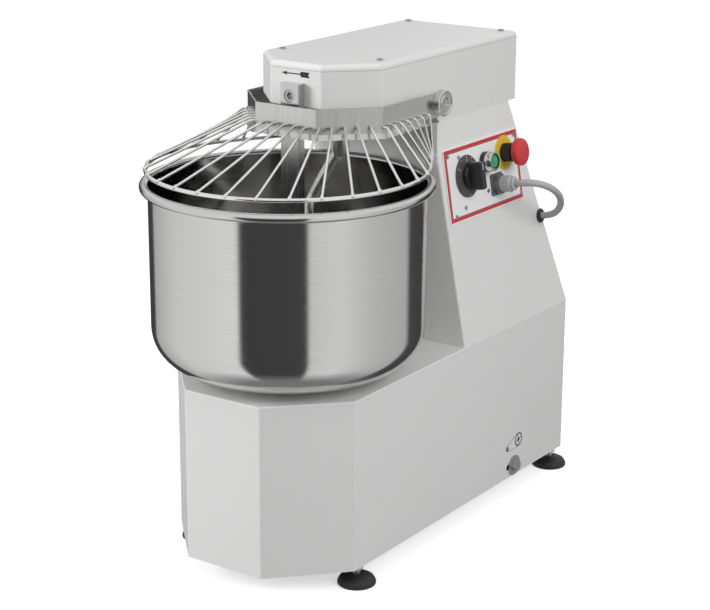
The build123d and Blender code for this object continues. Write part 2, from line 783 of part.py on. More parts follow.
with BuildPart() as cross_beam:
    beam_half = base_half_width - sheet
    beam_plane = Plane(origin=(0, at(main_reach), beam_z))
    block(beam_plane, 2 * beam_half, beam_depth, 0, beam_thick)
    for side in (-1, 1):
        web = Plane(origin=(0, at(main_reach + side * (beam_depth - beam_thick) / 2), beam_z))
        block(web, 2 * beam_half, beam_thick, -22, 0)
    tube(main_reach, 0, main_tube_r - 8, beam_z - 1, beam_z + beam_thick + 1, mode=Mode.SUBTRACT)
finish(cross_beam, "cross_beam")

main_seats = (beam_z + beam_thick, frame_top)
with BuildPart() as main_bearing_housings:
    for seat in main_seats:
        tube(main_reach, main_bearing_r - 5, main_tube_r, seat, seat + main_bearing_width + 5)
        tube(main_reach, main_bearing_r - 5, main_tube_r + 15, seat, seat + 9)
        tube(main_reach, 0, main_bearing_r, seat + 4, seat + main_bearing_width + 6,
             mode=Mode.SUBTRACT)
        with BuildSketch(Plane.XY.offset(seat + 3)) as housing_bolts:
            with Locations((0, at(main_reach))):
                with PolarLocations(main_tube_r + 8, 4, 45):
                    Circle(4)
        extrude(amount=7, mode=Mode.SUBTRACT)
finish(main_bearing_housings, "main_bearing_housings")

with BuildPart() as main_shaft:
    top = head_chain_z + 10
    turned([(0, main_shaft_bottom), (main_shaft_r - 1.5, main_shaft_bottom),
            (main_shaft_r, main_shaft_bottom + 1.5), (main_shaft_r, top - 1.5),
            (main_shaft_r - 1.5, top), (0, top)], main_reach)
finish(main_shaft, "main_shaft")

with BuildPart() as drive_pinion:
    sprocket(main_reach, pinion_teeth, bowl_chain_z, main_shaft_r + seat_gap, 18.5,
             bowl_chain_z - disc_thick / 2, bowl_chain_z + 20)
finish(drive_pinion, "drive_pinion")

with BuildPart() as head_drive_sprocket:
    sprocket(main_reach, head_main_teeth, head_chain_z, main_shaft_r + seat_gap, 26,
             head_chain_z - 7, head_chain_z + 6)
finish(head_drive_sprocket, "head_drive_sprocket")

# ---------------------------------------------------------------- belt drive and gearmotor

pulley_height = belt_count * belt_pitch + 6
belt_levels = [pulley_bottom + 3 + belt_pitch * (i + 0.5) for i in range(belt_count)]
belt_inset = belt_height / 2 + 1


def grooved_pulley(reach, radius, bore_r):
    """Pulley with one rectangular groove for each belt."""
    tube(reach, bore_r, radius, pulley_bottom, pulley_bottom + pulley_height)
    for level in belt_levels:
        half = belt_width / 2 + 0.3
        tube(reach, radius - belt_height - 1.3, radius + 1, level - half, level + half,
             mode=Mode.SUBTRACT)


with BuildPart() as main_pulley:
    grooved_pulley(main_reach, main_pulley_r, main_shaft_r + seat_gap)
finish(main_pulley, "main_pulley")

with BuildPart() as motor_pulley:
    grooved_pulley(motor_reach, motor_pulley_r, motor_shaft_r + seat_gap)
finish(motor_pulley, "motor_pulley")

with BuildPart() as drive_belts:
    for level in belt_levels:
        extrude(loop_face(level - belt_width / 2, main_reach, main_pulley_r - belt_inset,
                          motor_reach, motor_pulley_r - belt_inset, belt_height / 2),
                amount=belt_width)
finish(drive_belts, "drive_belts")

gearbox_size = 116.0
gearbox_height = 90.0
motor_r = 60.0
motor_height = 150.0
fan_cover_height = 40.0
gearbox_bottom = motor_plate_z + motor_plate_thick
motor_bottom = gearbox_bottom + gearbox_height
motor_top = motor_bottom + motor_height
motor_shaft_length = gearbox_bottom + 40 - pulley_bottom + 4

with BuildPart() as motor_plate:
    plate_half = base_half_width - sheet - 3
    plate_middle = motor_reach + 14
    plate_depth = 160.0
    block(Plane(origin=(0, at(plate_middle), motor_plate_z)), 2 * plate_half, plate_depth, 0,
          motor_plate_thick)
    for side in (-1, 1):
        flange = Plane(origin=(side * (plate_half - 3), at(plate_middle), adjuster_z - 10))
        block(flange, 6, plate_depth, 0, motor_plate_z - adjuster_z + 10)
    tube(motor_reach, 0, motor_shaft_r + 8, motor_plate_z - 1, gearbox_bottom + 1,
         mode=Mode.SUBTRACT)
    disc(adjuster_plane, adjuster_bolt_r + 0.1, -20, 0, Mode.SUBTRACT)
finish(motor_plate, "motor_plate")

with BuildPart() as gearbox:
    block(Plane(origin=(0, at(motor_reach), gearbox_bottom)), gearbox_size, gearbox_size, 0,
          gearbox_height, 14)
    tube(motor_reach, 0, motor_shaft_r + run_gap, gearbox_bottom - 1, gearbox_bottom + 41,
         mode=Mode.SUBTRACT)
finish(gearbox, "gearbox")

fin_count = 28
with BuildPart() as motor_body:
    tube(motor_reach, 0, motor_r + 1, motor_top, motor_top + fan_cover_height)
    fillet(motor_body.faces().sort_by(Axis.Z)[-1].edges(), 8)
    tube(motor_reach, 0, motor_r - 7, motor_bottom, motor_top)
    with BuildSketch(Plane.XY.offset(motor_bottom + 8)) as fins:
        with Locations((0, at(motor_reach))):
            with PolarLocations(motor_r - 4.5, fin_count):
                Rectangle(9, 2.4)
    extrude(amount=motor_height - 16)
    block(Plane(origin=(0, at(motor_reach) - motor_r, (motor_bottom + motor_top) / 2)), 70, 30,
          -30, 40, 4)
    with BuildSketch(Plane.XY.offset(motor_top + fan_cover_height - 3)) as air_holes:
        with Locations((0, at(motor_reach))):
            for ring in (14, 26, 38):
                with PolarLocations(ring, ring // 2):
                    Circle(2.2)
    extrude(amount=4, mode=Mode.SUBTRACT)
finish(motor_body, "motor_body")

with BuildPart() as motor_output_shaft:
    tube(motor_reach, 0, motor_shaft_r, pulley_bottom - 4, pulley_bottom - 4 + motor_shaft_length)
finish(motor_output_shaft, "motor_output_shaft")

with BuildPart() as belt_adjuster:
    disc(adjuster_plane, adjuster_washer_r, 0, adjuster_washer)
    with BuildSketch(adjuster_plane.offset(adjuster_washer)) as hexagon:
        RegularPolygon(adjuster_head_r, 6)
    extrude(amount=adjuster_head)
    disc(adjuster_plane, adjuster_bolt_r, -18, adjuster_washer)
finish(belt_adjuster, "belt_adjuster")

# ---------------------------------------------------------------- bowl and its drive

bowl_bearing_r = 40.0
bowl_bearing_width = 18.0
bowl_tube_r = 48.0
bowl_tube_top = base_top - sheet
bowl_tube_bottom = bowl_chain_z + 24
bowl_flange = 10.0
bolt_circle_r = 75.0

with BuildPart() as bowl_bearing_housing:
    tube(0, bowl_bearing_r - 6, bowl_tube_r, bowl_tube_bottom, bowl_tube_top)
    tube(0, bowl_bearing_r - 6, bowl_tube_r + 30, bowl_tube_top - bowl_flange, bowl_tube_top)
    for low in (bowl_tube_bottom, bowl_tube_top - bowl_bearing_width):
        tube(0, 0, bowl_bearing_r, low, low + bowl_bearing_width, mode=Mode.SUBTRACT)
finish(bowl_bearing_housing, "bowl_bearing_housing")

with BuildPart() as ball_bearings:
    for low in (bowl_tube_bottom, bowl_tube_top - bowl_bearing_width):
        ball_bearing(0, bowl_shaft_r + run_gap, bowl_bearing_r - seat_gap, low,
                     bowl_bearing_width)
    for low in (spiral_tube_bottom, spiral_tube_top - spiral_bearing_width):
        ball_bearing(spiral_reach, spiral_shaft_r + run_gap, spiral_bearing_r - seat_gap, low,
                     spiral_bearing_width)
    for seat in main_seats:
        ball_bearing(main_reach, main_shaft_r + run_gap, main_bearing_r - seat_gap, seat + 4,
                     main_bearing_width)
finish(ball_bearings, "ball_bearings")

with BuildPart() as bowl_shaft:
    low = bowl_chain_z - 10
    turned([(0, low), (bowl_shaft_r - 2, low), (bowl_shaft_r, low + 2),
            (bowl_shaft_r, bowl_bottom), (0, bowl_bottom)], 0)
finish(bowl_shaft, "bowl_shaft")

with BuildPart() as bowl_sprocket:
    sprocket(0, bowl_teeth, bowl_chain_z, bowl_shaft_r + seat_gap, 34,
             bowl_chain_z - disc_thick / 2, bowl_chain_z + 20)
    with BuildSketch(Plane.XY.offset(bowl_chain_z - disc_thick / 2)) as lightening:
        with Locations((0, at(0))):
            with PolarLocations(88, 6):
                Circle(26)
    extrude(amount=disc_thick, mode=Mode.SUBTRACT)
finish(bowl_sprocket, "bowl_sprocket")

with BuildPart() as bowl_chain:
    roller_chain(0, bowl_teeth, main_reach, pinion_teeth, bowl_chain_z)
finish(bowl_chain, "bowl_chain")

with BuildPart() as bowl_seat_plate:
    turned([(bowl_shaft_r + seat_gap, seat_bottom), (bowl_seat_r - 2, seat_bottom),
            (bowl_seat_r, seat_bottom + 2), (bowl_seat_r, bowl_bottom),
            (bowl_shaft_r + seat_gap, bowl_bottom)], 0)
    with BuildSketch(Plane.XY.offset(seat_bottom)) as seat_holes:
        with Locations((0, at(0))):
            with PolarLocations(bolt_circle_r, 4, 45):
                Circle(5.1)
    extrude(amount=bowl_seat_height, mode=Mode.SUBTRACT)
finish(bowl_seat_plate, "bowl_seat_plate")

with BuildPart() as bowl:
    body, corner, wall = bowl_body_r, bowl_corner_r, bowl_wall
    bead_z = bowl_rim_z - rim_bead_r
    with BuildSketch(upright(0)) as bowl_section:
        with BuildLine():
            skin = Line((0, bowl_bottom), (body - corner, bowl_bottom))
            outer_arc = RadiusArc(skin @ 1, (body, bowl_bottom + corner), -corner)
            rise = Line(outer_arc @ 1, (body, bead_z))
            over = Line(rise @ 1, (body - wall, bead_z))
            fall = Line(over @ 1, (body - wall, bowl_bottom + corner))
            inner_arc = RadiusArc(fall @ 1, (body - corner, bowl_inner_floor), corner - wall)
            floor_line = Line(inner_arc @ 1, (0, bowl_inner_floor))
            Line(floor_line @ 1, skin @ 0)
        make_face()
        with Locations((body + rim_bead_r - wall / 2, bead_z)):
            Circle(rim_bead_r + wall / 2)
    revolve(axis=Axis((0, at(0), 0), (0, 0, 1)))
    with BuildSketch(Plane.XY.offset(bowl_bottom)) as bolt_holes:
        with Locations((0, at(0))):
            with PolarLocations(bolt_circle_r, 4, 45):
                Circle(5.1)
    extrude(amount=bowl_wall, mode=Mode.SUBTRACT)
finish(bowl, "bowl")

with BuildPart() as bowl_bolts:
    with BuildSketch(Plane.XY.offset(seat_bottom)) as shanks:
        with Locations((0, at(0))):
            with PolarLocations(bolt_circle_r, 4, 45):
                Circle(5.0)
    extrude(amount=bowl_inner_floor - seat_bottom)
    with BuildSketch(Plane.XY.offset(bowl_inner_floor)) as bolt_heads:
        with Locations((0, at(0))):
            with PolarLocations(bolt_circle_r, 4, 45):
                Circle(9.0)
    extrude(amount=4, taper=35)
finish(bowl_bolts, "bowl_bolts")

# ---------------------------------------------------------------- breaker bar

with BuildPart() as breaker_bar:
    bar_bottom = bowl_inner_floor + bar_floor_gap
    with BuildSketch(Plane.XY.offset(bar_bottom)) as bar_section:
        with Locations((0, at((bar_front + bar_back) / 2))):
            Rectangle(bar_width, bar_thick)
    extrude(amount=bar_top - bar_bottom)
    chamfer(breaker_bar.edges().filter_by(Axis.Y).group_by(Axis.Z)[0], 5)
    chamfer(breaker_bar.edges().filter_by(Axis.Z), 0.8)
    disc(front_plane, bar_shank_r + 0.1, -bar_thick - 1, 1, Mode.SUBTRACT)
    disc(front_plane, bar_head_r + 0.4, -9, 1, Mode.SUBTRACT)
finish(breaker_bar, "breaker_bar")

with BuildPart() as breaker_bar_screw:
    disc(front_plane, bar_head_r, -9, -1)
    disc(front_plane, bar_shank_r, -bar_thick - bar_block_depth, -9)
    with BuildSketch(front_plane.offset(-1)) as bar_recess:
        RegularPolygon(5.6, 6)
    extrude(amount=-5, mode=Mode.SUBTRACT)
finish(breaker_bar_screw, "breaker_bar_screw")

# ---------------------------------------------------------------- guard

guard_plan = plan_outline(guard_front_half, guard_front_reach, guard_half_width,
                          guard_chamfer_reach, pivot_reach)

with BuildPart() as guard_collar:
    outer = plan_face(guard_plan, collar_bottom)
    inner = plan_face(guard_plan, collar_bottom, guard_plate)
    extrude(outer, amount=guard_plate_height)
    extrude(inner, amount=guard_plate_height, mode=Mode.SUBTRACT)
    extrude(outer, amount=guard_lip, dir=(0, 0, -1), taper=-45)
    extrude(inner, amount=guard_lip, dir=(0, 0, -1), taper=-45, mode=Mode.SUBTRACT)
    rear_cut = Plane(origin=(0, at(pivot_reach), collar_bottom))
    block(rear_cut, 2 * guard_half_width + 60, 4 * guard_plate + 2 * guard_lip, -guard_lip - 1,
          guard_plate_height + 1, mode=Mode.SUBTRACT)
    for side in (-1, 1):
        lug = Plane(origin=(side * guard_half_width, at(pivot_reach), pivot_z),
                    x_dir=(0, 1, 0), z_dir=(side, 0, 0))
        disc(lug, pivot_lug_r, -guard_plate, 0)
        block(Plane(origin=(side * (guard_half_width - guard_plate / 2), at(pivot_reach - 10),
                            collar_bottom)), guard_plate, 20, 0, guard_plate_height)
        disc(lug, pivot_pin_r + seat_gap, -guard_plate - 1, 1, Mode.SUBTRACT)
finish(guard_collar, "guard_collar")


def collar_point(along):
    """Point on the collar's outer face a distance along it from the middle, and its normal."""
    side = -1 if along < 0 else 1
    left = abs(along)
    run = guard_half_width - guard_front_half
    rise = guard_chamfer_reach - guard_front_reach
    slant = hypot(run, rise)
    if left <= guard_front_half:
        x, reach, nx, ny = left, guard_front_reach, 0, -1
    elif left <= guard_front_half + slant:
        share = (left - guard_front_half) / slant
        x = guard_front_half + share * run
        reach, nx, ny = guard_front_reach + share * rise, rise / slant, -run / slant
    else:
        x = guard_half_width
        reach, nx, ny = guard_chamfer_reach + left - guard_front_half - slant, 1, 0
    return Vector(side * x, at(reach), wire_z), Vector(side * nx, ny, 0)


ring_tangent = radians(ring_straight_from)
ring_turn_x, ring_turn_reach = ring_r * sin(ring_tangent), -ring_r * cos(ring_tangent)
ring_end_x = collar_inner - strap_thick / 2
ring_straight = (ring_turn_x - ring_end_x) / -cos(ring_tangent)
ring_end_reach = ring_turn_reach + ring_straight * sin(ring_tangent)
ring_half_length = ring_r * ring_tangent + ring_straight


def ring_point(along):
    """Point on the ring a distance along it from the front: round, then straight to the strap."""
    side = -1 if along < 0 else 1
    turn = min(abs(along) / ring_r, ring_tangent)
    beyond = max(0.0, abs(along) - ring_r * ring_tangent)
    x = ring_r * sin(turn) + beyond * cos(ring_tangent)
    reach = -ring_r * cos(turn) + beyond * sin(ring_tangent)
    return Vector(side * x, at(reach), ring_z)


def wire_foot(index):
    """Where a wire meets the ring: evenly spread, closing up next to the strap."""
    side = -1 if index < 0 else 1
    spread = ring_r * radians(wire_spread) * abs(index)
    closing = ring_half_length - wire_close_pitch * (wire_count + 1 - abs(index))
    open_wires = wire_count - wire_close_count
    along = spread if abs(index) <= open_wires else closing
    return ring_point(side * min(along, closing))


with BuildPart() as guard_ring:
    with BuildLine() as ring_path:
        left_end, right_end = ring_point(-ring_half_length), ring_point(ring_half_length)
        left_turn, right_turn = (ring_point(s * ring_r * ring_tangent) for s in (-1, 1))
        Line(left_end, left_turn)
        ThreePointArc(left_turn, ring_point(0), right_turn)
        Line(right_turn, right_end)
    with BuildSketch(Plane(origin=ring_path.line @ 0, z_dir=ring_path.line % 0)):
        Circle(ring_rod_r)
    sweep()
finish(guard_ring, "guard_ring")

wire_stub = 7.0
with BuildPart() as guard_wires:
    for index in range(-wire_count, wire_count + 1):
        root, normal = collar_point(index * wire_pitch)
        bend, foot = root + normal * wire_stub, wire_foot(index)
        route = [tuple(root), tuple(bend), tuple(foot)]
        with BuildLine() as wire_path:
            FilletPolyline(*route, radius=longest_arcs(route, 0.8)[0])
        with BuildSketch(Plane(origin=root, z_dir=normal)):
            Circle(wire_r)
        sweep(path=wire_path.line)
finish(guard_wires, "guard_wires")

with BuildPart() as guard_end_straps:
    strap_bottom = ring_z - ring_rod_r
    strap_top = pivot_z - pivot_boss_r - 2
    for side in (-1, 1):
        strap = Plane(origin=(side * (collar_inner - strap_thick / 2), at(ring_end_reach),
                              strap_bottom))
        block(strap, strap_thick, strap_width, 0, strap_top - strap_bottom)
finish(guard_end_straps, "guard_end_straps")

with BuildPart() as guard_pivots:
    for side in (-1, 1):
        outward = Plane(origin=(0, at(pivot_reach), pivot_z), x_dir=(0, 1, 0), z_dir=(side, 0, 0))
        disc(outward, pivot_pin_r, head_half_width - 20, guard_half_width + 6)
        disc(outward, pivot_boss_r, head_half_width + 0.7, collar_inner)
        disc(outward, pivot_knob_r, guard_half_width, guard_half_width + pivot_knob_length)
        disc(outward, 10.5, guard_half_width + 6.5, guard_half_width + pivot_knob_length + 1,
             Mode.SUBTRACT)
    fillet(guard_pivots.edges().filter_by(GeomType.CIRCLE)
           .filter_by(lambda e: abs(e.radius - pivot_knob_r) < 0.1
                      and abs(e.center().X) > guard_half_width + 5), 2.5)
finish(guard_pivots, "guard_pivots")

arm_x = head_half_width - 17
with BuildPart() as guard_magnet_arm:
    arm_plane = Plane(origin=(arm_x, at(pivot_reach), pivot_z), x_dir=(0, 1, 0), z_dir=(1, 0, 0))
    disc(arm_plane, pivot_boss_r, 0, 6)
    block(Plane(origin=arm_plane.origin + Vector(0, 13, 0), x_dir=(0, 1, 0), z_dir=(1, 0, 0)),
          22, 11, 0, 6)
    disc(arm_plane, pivot_pin_r + seat_gap, -1, 7, Mode.SUBTRACT)
finish(guard_magnet_arm, "guard_magnet_arm")

with BuildPart() as guard_sensor:
    block(Plane(origin=(arm_x - 12, at(pivot_reach) + 24, pivot_z - 4)), 14, 26, -12, 12, 2)
    block(Plane(origin=(arm_x - 12, at(pivot_reach) + 24, column_top + 3)), 14, 26, 0,
          pivot_z - 16 - column_top - 3)
finish(guard_sensor, "guard_sensor")

# ---------------------------------------------------------------- control panel

selector_spot, start_spot, estop_spot, socket_spot = switch_planes
spindle_r = 5.0
block_depth = 46.0
selector_block = 48.0
spindle_depth = 22.0
contact_block = (28.0, 36.0)
block_bottom = -sheet - 1 - block_depth
block_top = -sheet - 13   # contact blocks of the two push buttons
plunger_r = 4.0
plunger_bore = 20.0
thread_bottom = -sheet - 12

with BuildPart() as panel_plate:
    block(panel_plane, panel_length, panel_height, 0, panel_thick, 3)
    for spot in switch_planes:
        disc(spot, switch_hole_r, -1, panel_thick + 1, Mode.SUBTRACT)
    with BuildSketch(panel_plane) as plate_screw_holes:
        with Locations(*panel_screw_places):
            Circle(panel_screw_r + screw_gap)
    extrude(amount=panel_thick, mode=Mode.SUBTRACT)
finish(panel_plate, "panel_plate")

with BuildPart() as selector_dial:
    disc(selector_spot, dial_r, panel_thick, panel_thick + dial_thick)
    disc(selector_spot, spindle_r + run_gap, -1, panel_thick + dial_thick + 1, Mode.SUBTRACT)
finish(selector_dial, "selector_dial")

with BuildPart() as selector_knob:
    knob_base = panel_thick + dial_thick + 0.4
    disc(selector_spot, 17, knob_base, knob_base + 7)
    block(selector_spot, 15, 43, knob_base + 7, knob_base + 27, 3)
    disc(selector_spot, spindle_r, -spindle_depth, knob_base)
finish(selector_knob, "selector_knob")

with BuildPart() as switch_contact_blocks:
    inner = -sheet - 1
    block(selector_spot, selector_block, selector_block, block_bottom, inner, 3)
    disc(selector_spot, spindle_r + run_gap, inner - spindle_depth, inner + through,
         Mode.SUBTRACT)
    for spot in (start_spot, estop_spot):
        block(spot, *contact_block, block_bottom, block_top, 2)
        disc(spot, plunger_r + run_gap, block_top - plunger_bore, block_top + through,
             Mode.SUBTRACT)
finish(switch_contact_blocks, "switch_contact_blocks")

start_r = 15.0
start_cap_r = 10.0
start_rise = 22.0
start_base_top = panel_thick + 8
cap_gap = 0.3
cap_height = 8.0
with BuildPart() as start_button_base:
    disc(start_spot, start_r + 0.6, panel_thick, start_base_top)
    disc(start_spot, switch_thread_r, thread_bottom, panel_thick)
    disc(start_spot, start_cap_r + cap_gap, thread_bottom - through, start_base_top + through,
         Mode.SUBTRACT)
finish(start_button_base, "start_button_base")

with BuildPart() as start_button_bezel:
    disc(start_spot, start_r, start_base_top, start_rise)
    disc(start_spot, start_cap_r + cap_gap, start_base_top - through, start_rise + through,
         Mode.SUBTRACT)
    fillet(start_button_bezel.edges().filter_by(GeomType.CIRCLE)
           .filter_by(lambda e: e.radius > start_r - 1).sort_by(Axis.X)[-1:], 1.5)
finish(start_button_bezel, "start_button_bezel")

with BuildPart() as start_button_cap:
    disc(start_spot, start_cap_r, start_rise - cap_height, start_rise - 1)
    disc(start_spot, plunger_r, block_top - 11, start_rise - cap_height)
finish(start_button_cap, "start_button_cap")

estop_collar_r = 14.5
estop_head_r = 21.5
estop_collar_top = 20.0
estop_label_r = 27.0
estop_stem_r = 8.0
estop_pin_r = 5.0
estop_pin_top = estop_collar_top + 15
with BuildPart() as estop_label_ring:
    label_top = panel_thick + 1
    disc(estop_spot, estop_label_r, panel_thick, label_top)
    disc(estop_spot, switch_hole_r, panel_thick - through, label_top + through, Mode.SUBTRACT)
finish(estop_label_ring, "estop_label_ring")

with BuildPart() as estop_collar:
    disc(estop_spot, estop_collar_r, label_top, estop_collar_top)
    disc(estop_spot, switch_thread_r, thread_bottom, label_top)
    disc(estop_spot, estop_stem_r + run_gap, thread_bottom - through, estop_collar_top + through,
         Mode.SUBTRACT)
finish(estop_collar, "estop_collar")

with BuildPart() as estop_stem:
    stem_shoulder = block_top + estop_travel + 2
    disc(estop_spot, estop_stem_r, stem_shoulder, estop_collar_top + estop_travel)
    disc(estop_spot, plunger_r, block_top - 13, stem_shoulder)
    disc(estop_spot, estop_pin_r, estop_collar_top + estop_travel, estop_pin_top)
finish(estop_stem, "estop_stem")

with BuildPart() as estop_head:
    head_low = estop_collar_top + estop_travel + 0.5
    disc(estop_spot, estop_head_r - 2, head_low, head_low + 2)
    disc(estop_spot, estop_head_r, head_low + 2, head_low + 15)
    fillet(estop_head.faces().sort_by(Axis.X)[-1].edges(), 7)
    disc(estop_spot, estop_pin_r + run_gap, head_low - through, estop_pin_top + air_gap,
         Mode.SUBTRACT)
finish(estop_head, "estop_head")

plug_start = panel_thick + 12.0
plug_end = 37.0
plug_r = 13.0
plug_neck_r = 10.5
plug_neck = 5.0
plug_grip = 8.0
socket_flange = 34.0
socket_barrel_r = 15.5
with BuildPart() as lead_socket:
    block(socket_spot, socket_flange, socket_flange, panel_thick, panel_thick + 3, 4)
    disc(socket_spot, socket_barrel_r, panel_thick + 3, plug_start)
    disc(socket_spot, switch_thread_r, thread_bottom - 2, panel_thick)
finish(lead_socket, "lead_socket")

with BuildPart() as lead_plug:
    disc(socket_spot, plug_r, plug_start, plug_end - plug_neck)
    disc(socket_spot, plug_neck_r, plug_end - plug_neck, plug_end)
    disc(socket_spot, lead_r, plug_end - plug_grip, plug_end + through, Mode.SUBTRACT)
finish(lead_plug, "lead_plug")

grommet_spot = side_plane(grommet_reach, grommet_z)
with BuildPart() as lead_grommet:
    disc(grommet_spot, lead_r + 6, 0, grommet_lip)
    disc(grommet_spot, grommet_neck_r, -sheet - 3, 0)
    disc(grommet_spot, lead_r, -sheet - 3 - through, grommet_lip + through, Mode.SUBTRACT)
finish(lead_grommet, "lead_grommet")

slope_normal = panel_plane.z_dir
lead_start = socket_spot.origin + slope_normal * (plug_end - plug_grip)
lead_end = grommet_spot.origin - slope_normal * sheet
lead_route = [
    tuple(lead_start),
    tuple(lead_start + slope_normal * 18.5),
    (187.0, at(379.0), 525.0),
    (198.0, at(392.5), 521.0),
    (203.0, at(413.0), 511.5),
    (202.0, at(436.0), 498.0),
    (195.0, at(458.0), 482.5),
    (184.0, at(476.5), 467.0),
    (169.5, at(490.0), 453.0),
    tuple(lead_end + slope_normal * 19),
    tuple(lead_end),
]
lead_arcs = longest_arcs(lead_route)
print("lead bend radii", [round(r, 1) for r in lead_arcs])
with BuildPart() as control_lead:
    with BuildLine() as lead_line:
        FilletPolyline(*lead_route, radius=lead_arcs)
    with BuildSketch(Plane(origin=lead_line.line @ 0, z_dir=lead_line.line % 0)):
        Circle(lead_r)
    sweep()
lead_length = lead_line.wire().length
print("lead length", round(lead_length, 1), "volume share",
      round(control_lead.part.volume / (pi * lead_r ** 2 * lead_length), 4))
finish(control_lead, "control_lead")

with BuildPart() as mains_gland:
    disc(gland_plane, gland_thread_r, -gland_in, 0)
    with BuildSketch(gland_plane) as gland_nut_face:
        RegularPolygon(gland_nut_r, 6)
    extrude(amount=gland_nut)
    disc(gland_plane, gland_cap_r, gland_nut, gland_out)
    disc(gland_plane, gland_bore_r, -gland_in - through, gland_out + through, Mode.SUBTRACT)
finish(mains_gland, "mains_gland")

print("bowl axis y", bowl_y, "head top", head_top, "rear", at(rearmost_reach))
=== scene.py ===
"""Visual model of a commercial spiral dough mixer, in metres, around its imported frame.

+Z is up, +X is the operator's right, the side of the control panel, and -Y faces the operator.
Distances called "reach" run backwards, along +Y, from the bowl's axis. New pieces are surfaces
worked out as whole arrays; the frame's own nodes keep their shape and get these finishes.
"""

import json
import logging
import math
from collections.abc import Sequence
from dataclasses import dataclass, field
from enum import Enum

import bpy
import numpy as np
from mathutils import Matrix, Vector


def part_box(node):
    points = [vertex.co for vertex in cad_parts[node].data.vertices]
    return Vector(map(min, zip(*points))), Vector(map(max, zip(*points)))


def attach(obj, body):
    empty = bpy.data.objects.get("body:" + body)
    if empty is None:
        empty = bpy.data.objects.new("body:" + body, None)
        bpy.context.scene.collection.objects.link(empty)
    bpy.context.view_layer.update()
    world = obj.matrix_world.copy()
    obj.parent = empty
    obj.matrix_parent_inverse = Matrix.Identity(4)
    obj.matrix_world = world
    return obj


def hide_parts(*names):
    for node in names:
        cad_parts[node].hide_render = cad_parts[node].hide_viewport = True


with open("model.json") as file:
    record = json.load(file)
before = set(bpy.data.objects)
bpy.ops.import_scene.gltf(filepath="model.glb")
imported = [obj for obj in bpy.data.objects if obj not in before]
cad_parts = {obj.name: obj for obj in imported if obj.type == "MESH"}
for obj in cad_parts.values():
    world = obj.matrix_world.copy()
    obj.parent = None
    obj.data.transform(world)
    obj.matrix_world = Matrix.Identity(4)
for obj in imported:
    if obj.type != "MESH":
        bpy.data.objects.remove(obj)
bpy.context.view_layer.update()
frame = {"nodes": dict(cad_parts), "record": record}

Array = np.ndarray
Point = tuple[float, float, float]
Colour = tuple[float, float, float]

log = logging.getLogger("dough_mixer")
MM = 0.001
FULL_TURN = 2 * math.pi


# ---------------------------------------------------------------- places

@dataclass(frozen=True)
class Layout:
    """Driving places of the mixer, read from the frame's boxes where they hold them.

    The slopes are those of the column's sides: its half width shrinks from the deck's to the
    top's over the column's height.
    """

    bowl_y: float
    rim_r: float
    rim_z: float
    bowl_bottom: float
    deck_z: float
    base_half: float
    column_half_top: float = 105.0 * MM
    column_height: float = 343.5 * MM
    spiral_reach: float = 132.0 * MM
    head_front_reach: float = 19.7 * MM

    @property
    def side_lean(self) -> float:
        """Angle between the column's sides and upright."""
        return math.atan2(self.base_half - self.column_half_top, self.column_height)

    def at(self, reach: float) -> float:
        """Y of a reach behind the bowl's axis."""
        return self.bowl_y + reach

    def column_half(self, z: float) -> float:
        """Half the column's width at a height."""
        return self.base_half - (z - self.deck_z) * math.tan(self.side_lean)


def read_layout() -> Layout:
    """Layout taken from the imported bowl, seat plate and belt adjuster.

    The deck lies a seat's lift under the plate; the adjuster's head stands out of the base's side.

    Returns:
        The driving places of the mixer.
    """
    seat_lift, adjuster_stand = 2.5 * MM, 9.0 * MM
    bowl_low, bowl_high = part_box("bowl")
    plate_low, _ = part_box("bowl_seat_plate")
    _, adjuster_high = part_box("belt_adjuster")
    return Layout(
        bowl_y=(bowl_low[1] + bowl_high[1]) / 2,
        rim_r=(bowl_high[0] - bowl_low[0]) / 2,
        rim_z=bowl_high[2],
        bowl_bottom=bowl_low[2],
        deck_z=plate_low[2] - seat_lift,
        base_half=adjuster_high[0] - adjuster_stand,
    )


@dataclass(frozen=True)
class Seat:
    """A place with its own directions: local x runs across, local z points out."""

    origin: Point
    across: Point = (1.0, 0.0, 0.0)
    out: Point = (0.0, 0.0, 1.0)

    def place(self, local: Array) -> Array:
        """Carry local points to the row frame: origin + x across + y (out x across) + z out.

        Args:
            local: points of shape (..., 3) in metres.

        Returns:
            The same points in the row frame.
        """
        across, out = np.array(self.across), np.array(self.out)
        return np.array(self.origin) + local @ np.stack([across, np.cross(out, across), out])


def slope_seat(layout: Layout, reach: float, z: float) -> Seat:
    """Seat on the right-hand slope of the column: x to the rear, y up the slope, z outwards.

    Args:
        layout: the driving places of the mixer.
        reach: how far behind the bowl's axis it stands.
        z: its height.

    Returns:
        The seat, on the face of the casing.
    """
    lean = layout.side_lean
    foot = (layout.column_half(z), layout.at(reach), z)
    return Seat(foot, (0.0, 1.0, 0.0), (math.cos(lean), 0.0, math.sin(lean)))


# ---------------------------------------------------------------- surfaces

class Ends(Enum):
    """How the first and last ring of a skin are closed."""

    CAPPED = "each end closes on its own middle point"
    JOINED = "the last ring meets the first"


@dataclass(frozen=True)
class Shell:
    """Points and faces of one or more closed surfaces."""

    points: Array
    faces: list[list[int]]


def join(shells: Sequence[Shell]) -> Shell:
    """Several shells as one, each with its faces counted on from those before it.

    Args:
        shells: the shells, in order.

    Returns:
        One shell that holds them all.
    """
    starts = np.cumsum([0] + [len(s.points) for s in shells[:-1]])
    faces = [[i + int(start) for i in face] for s, start in zip(shells, starts) for face in s.faces]
    return Shell(np.vstack([s.points for s in shells]), faces)


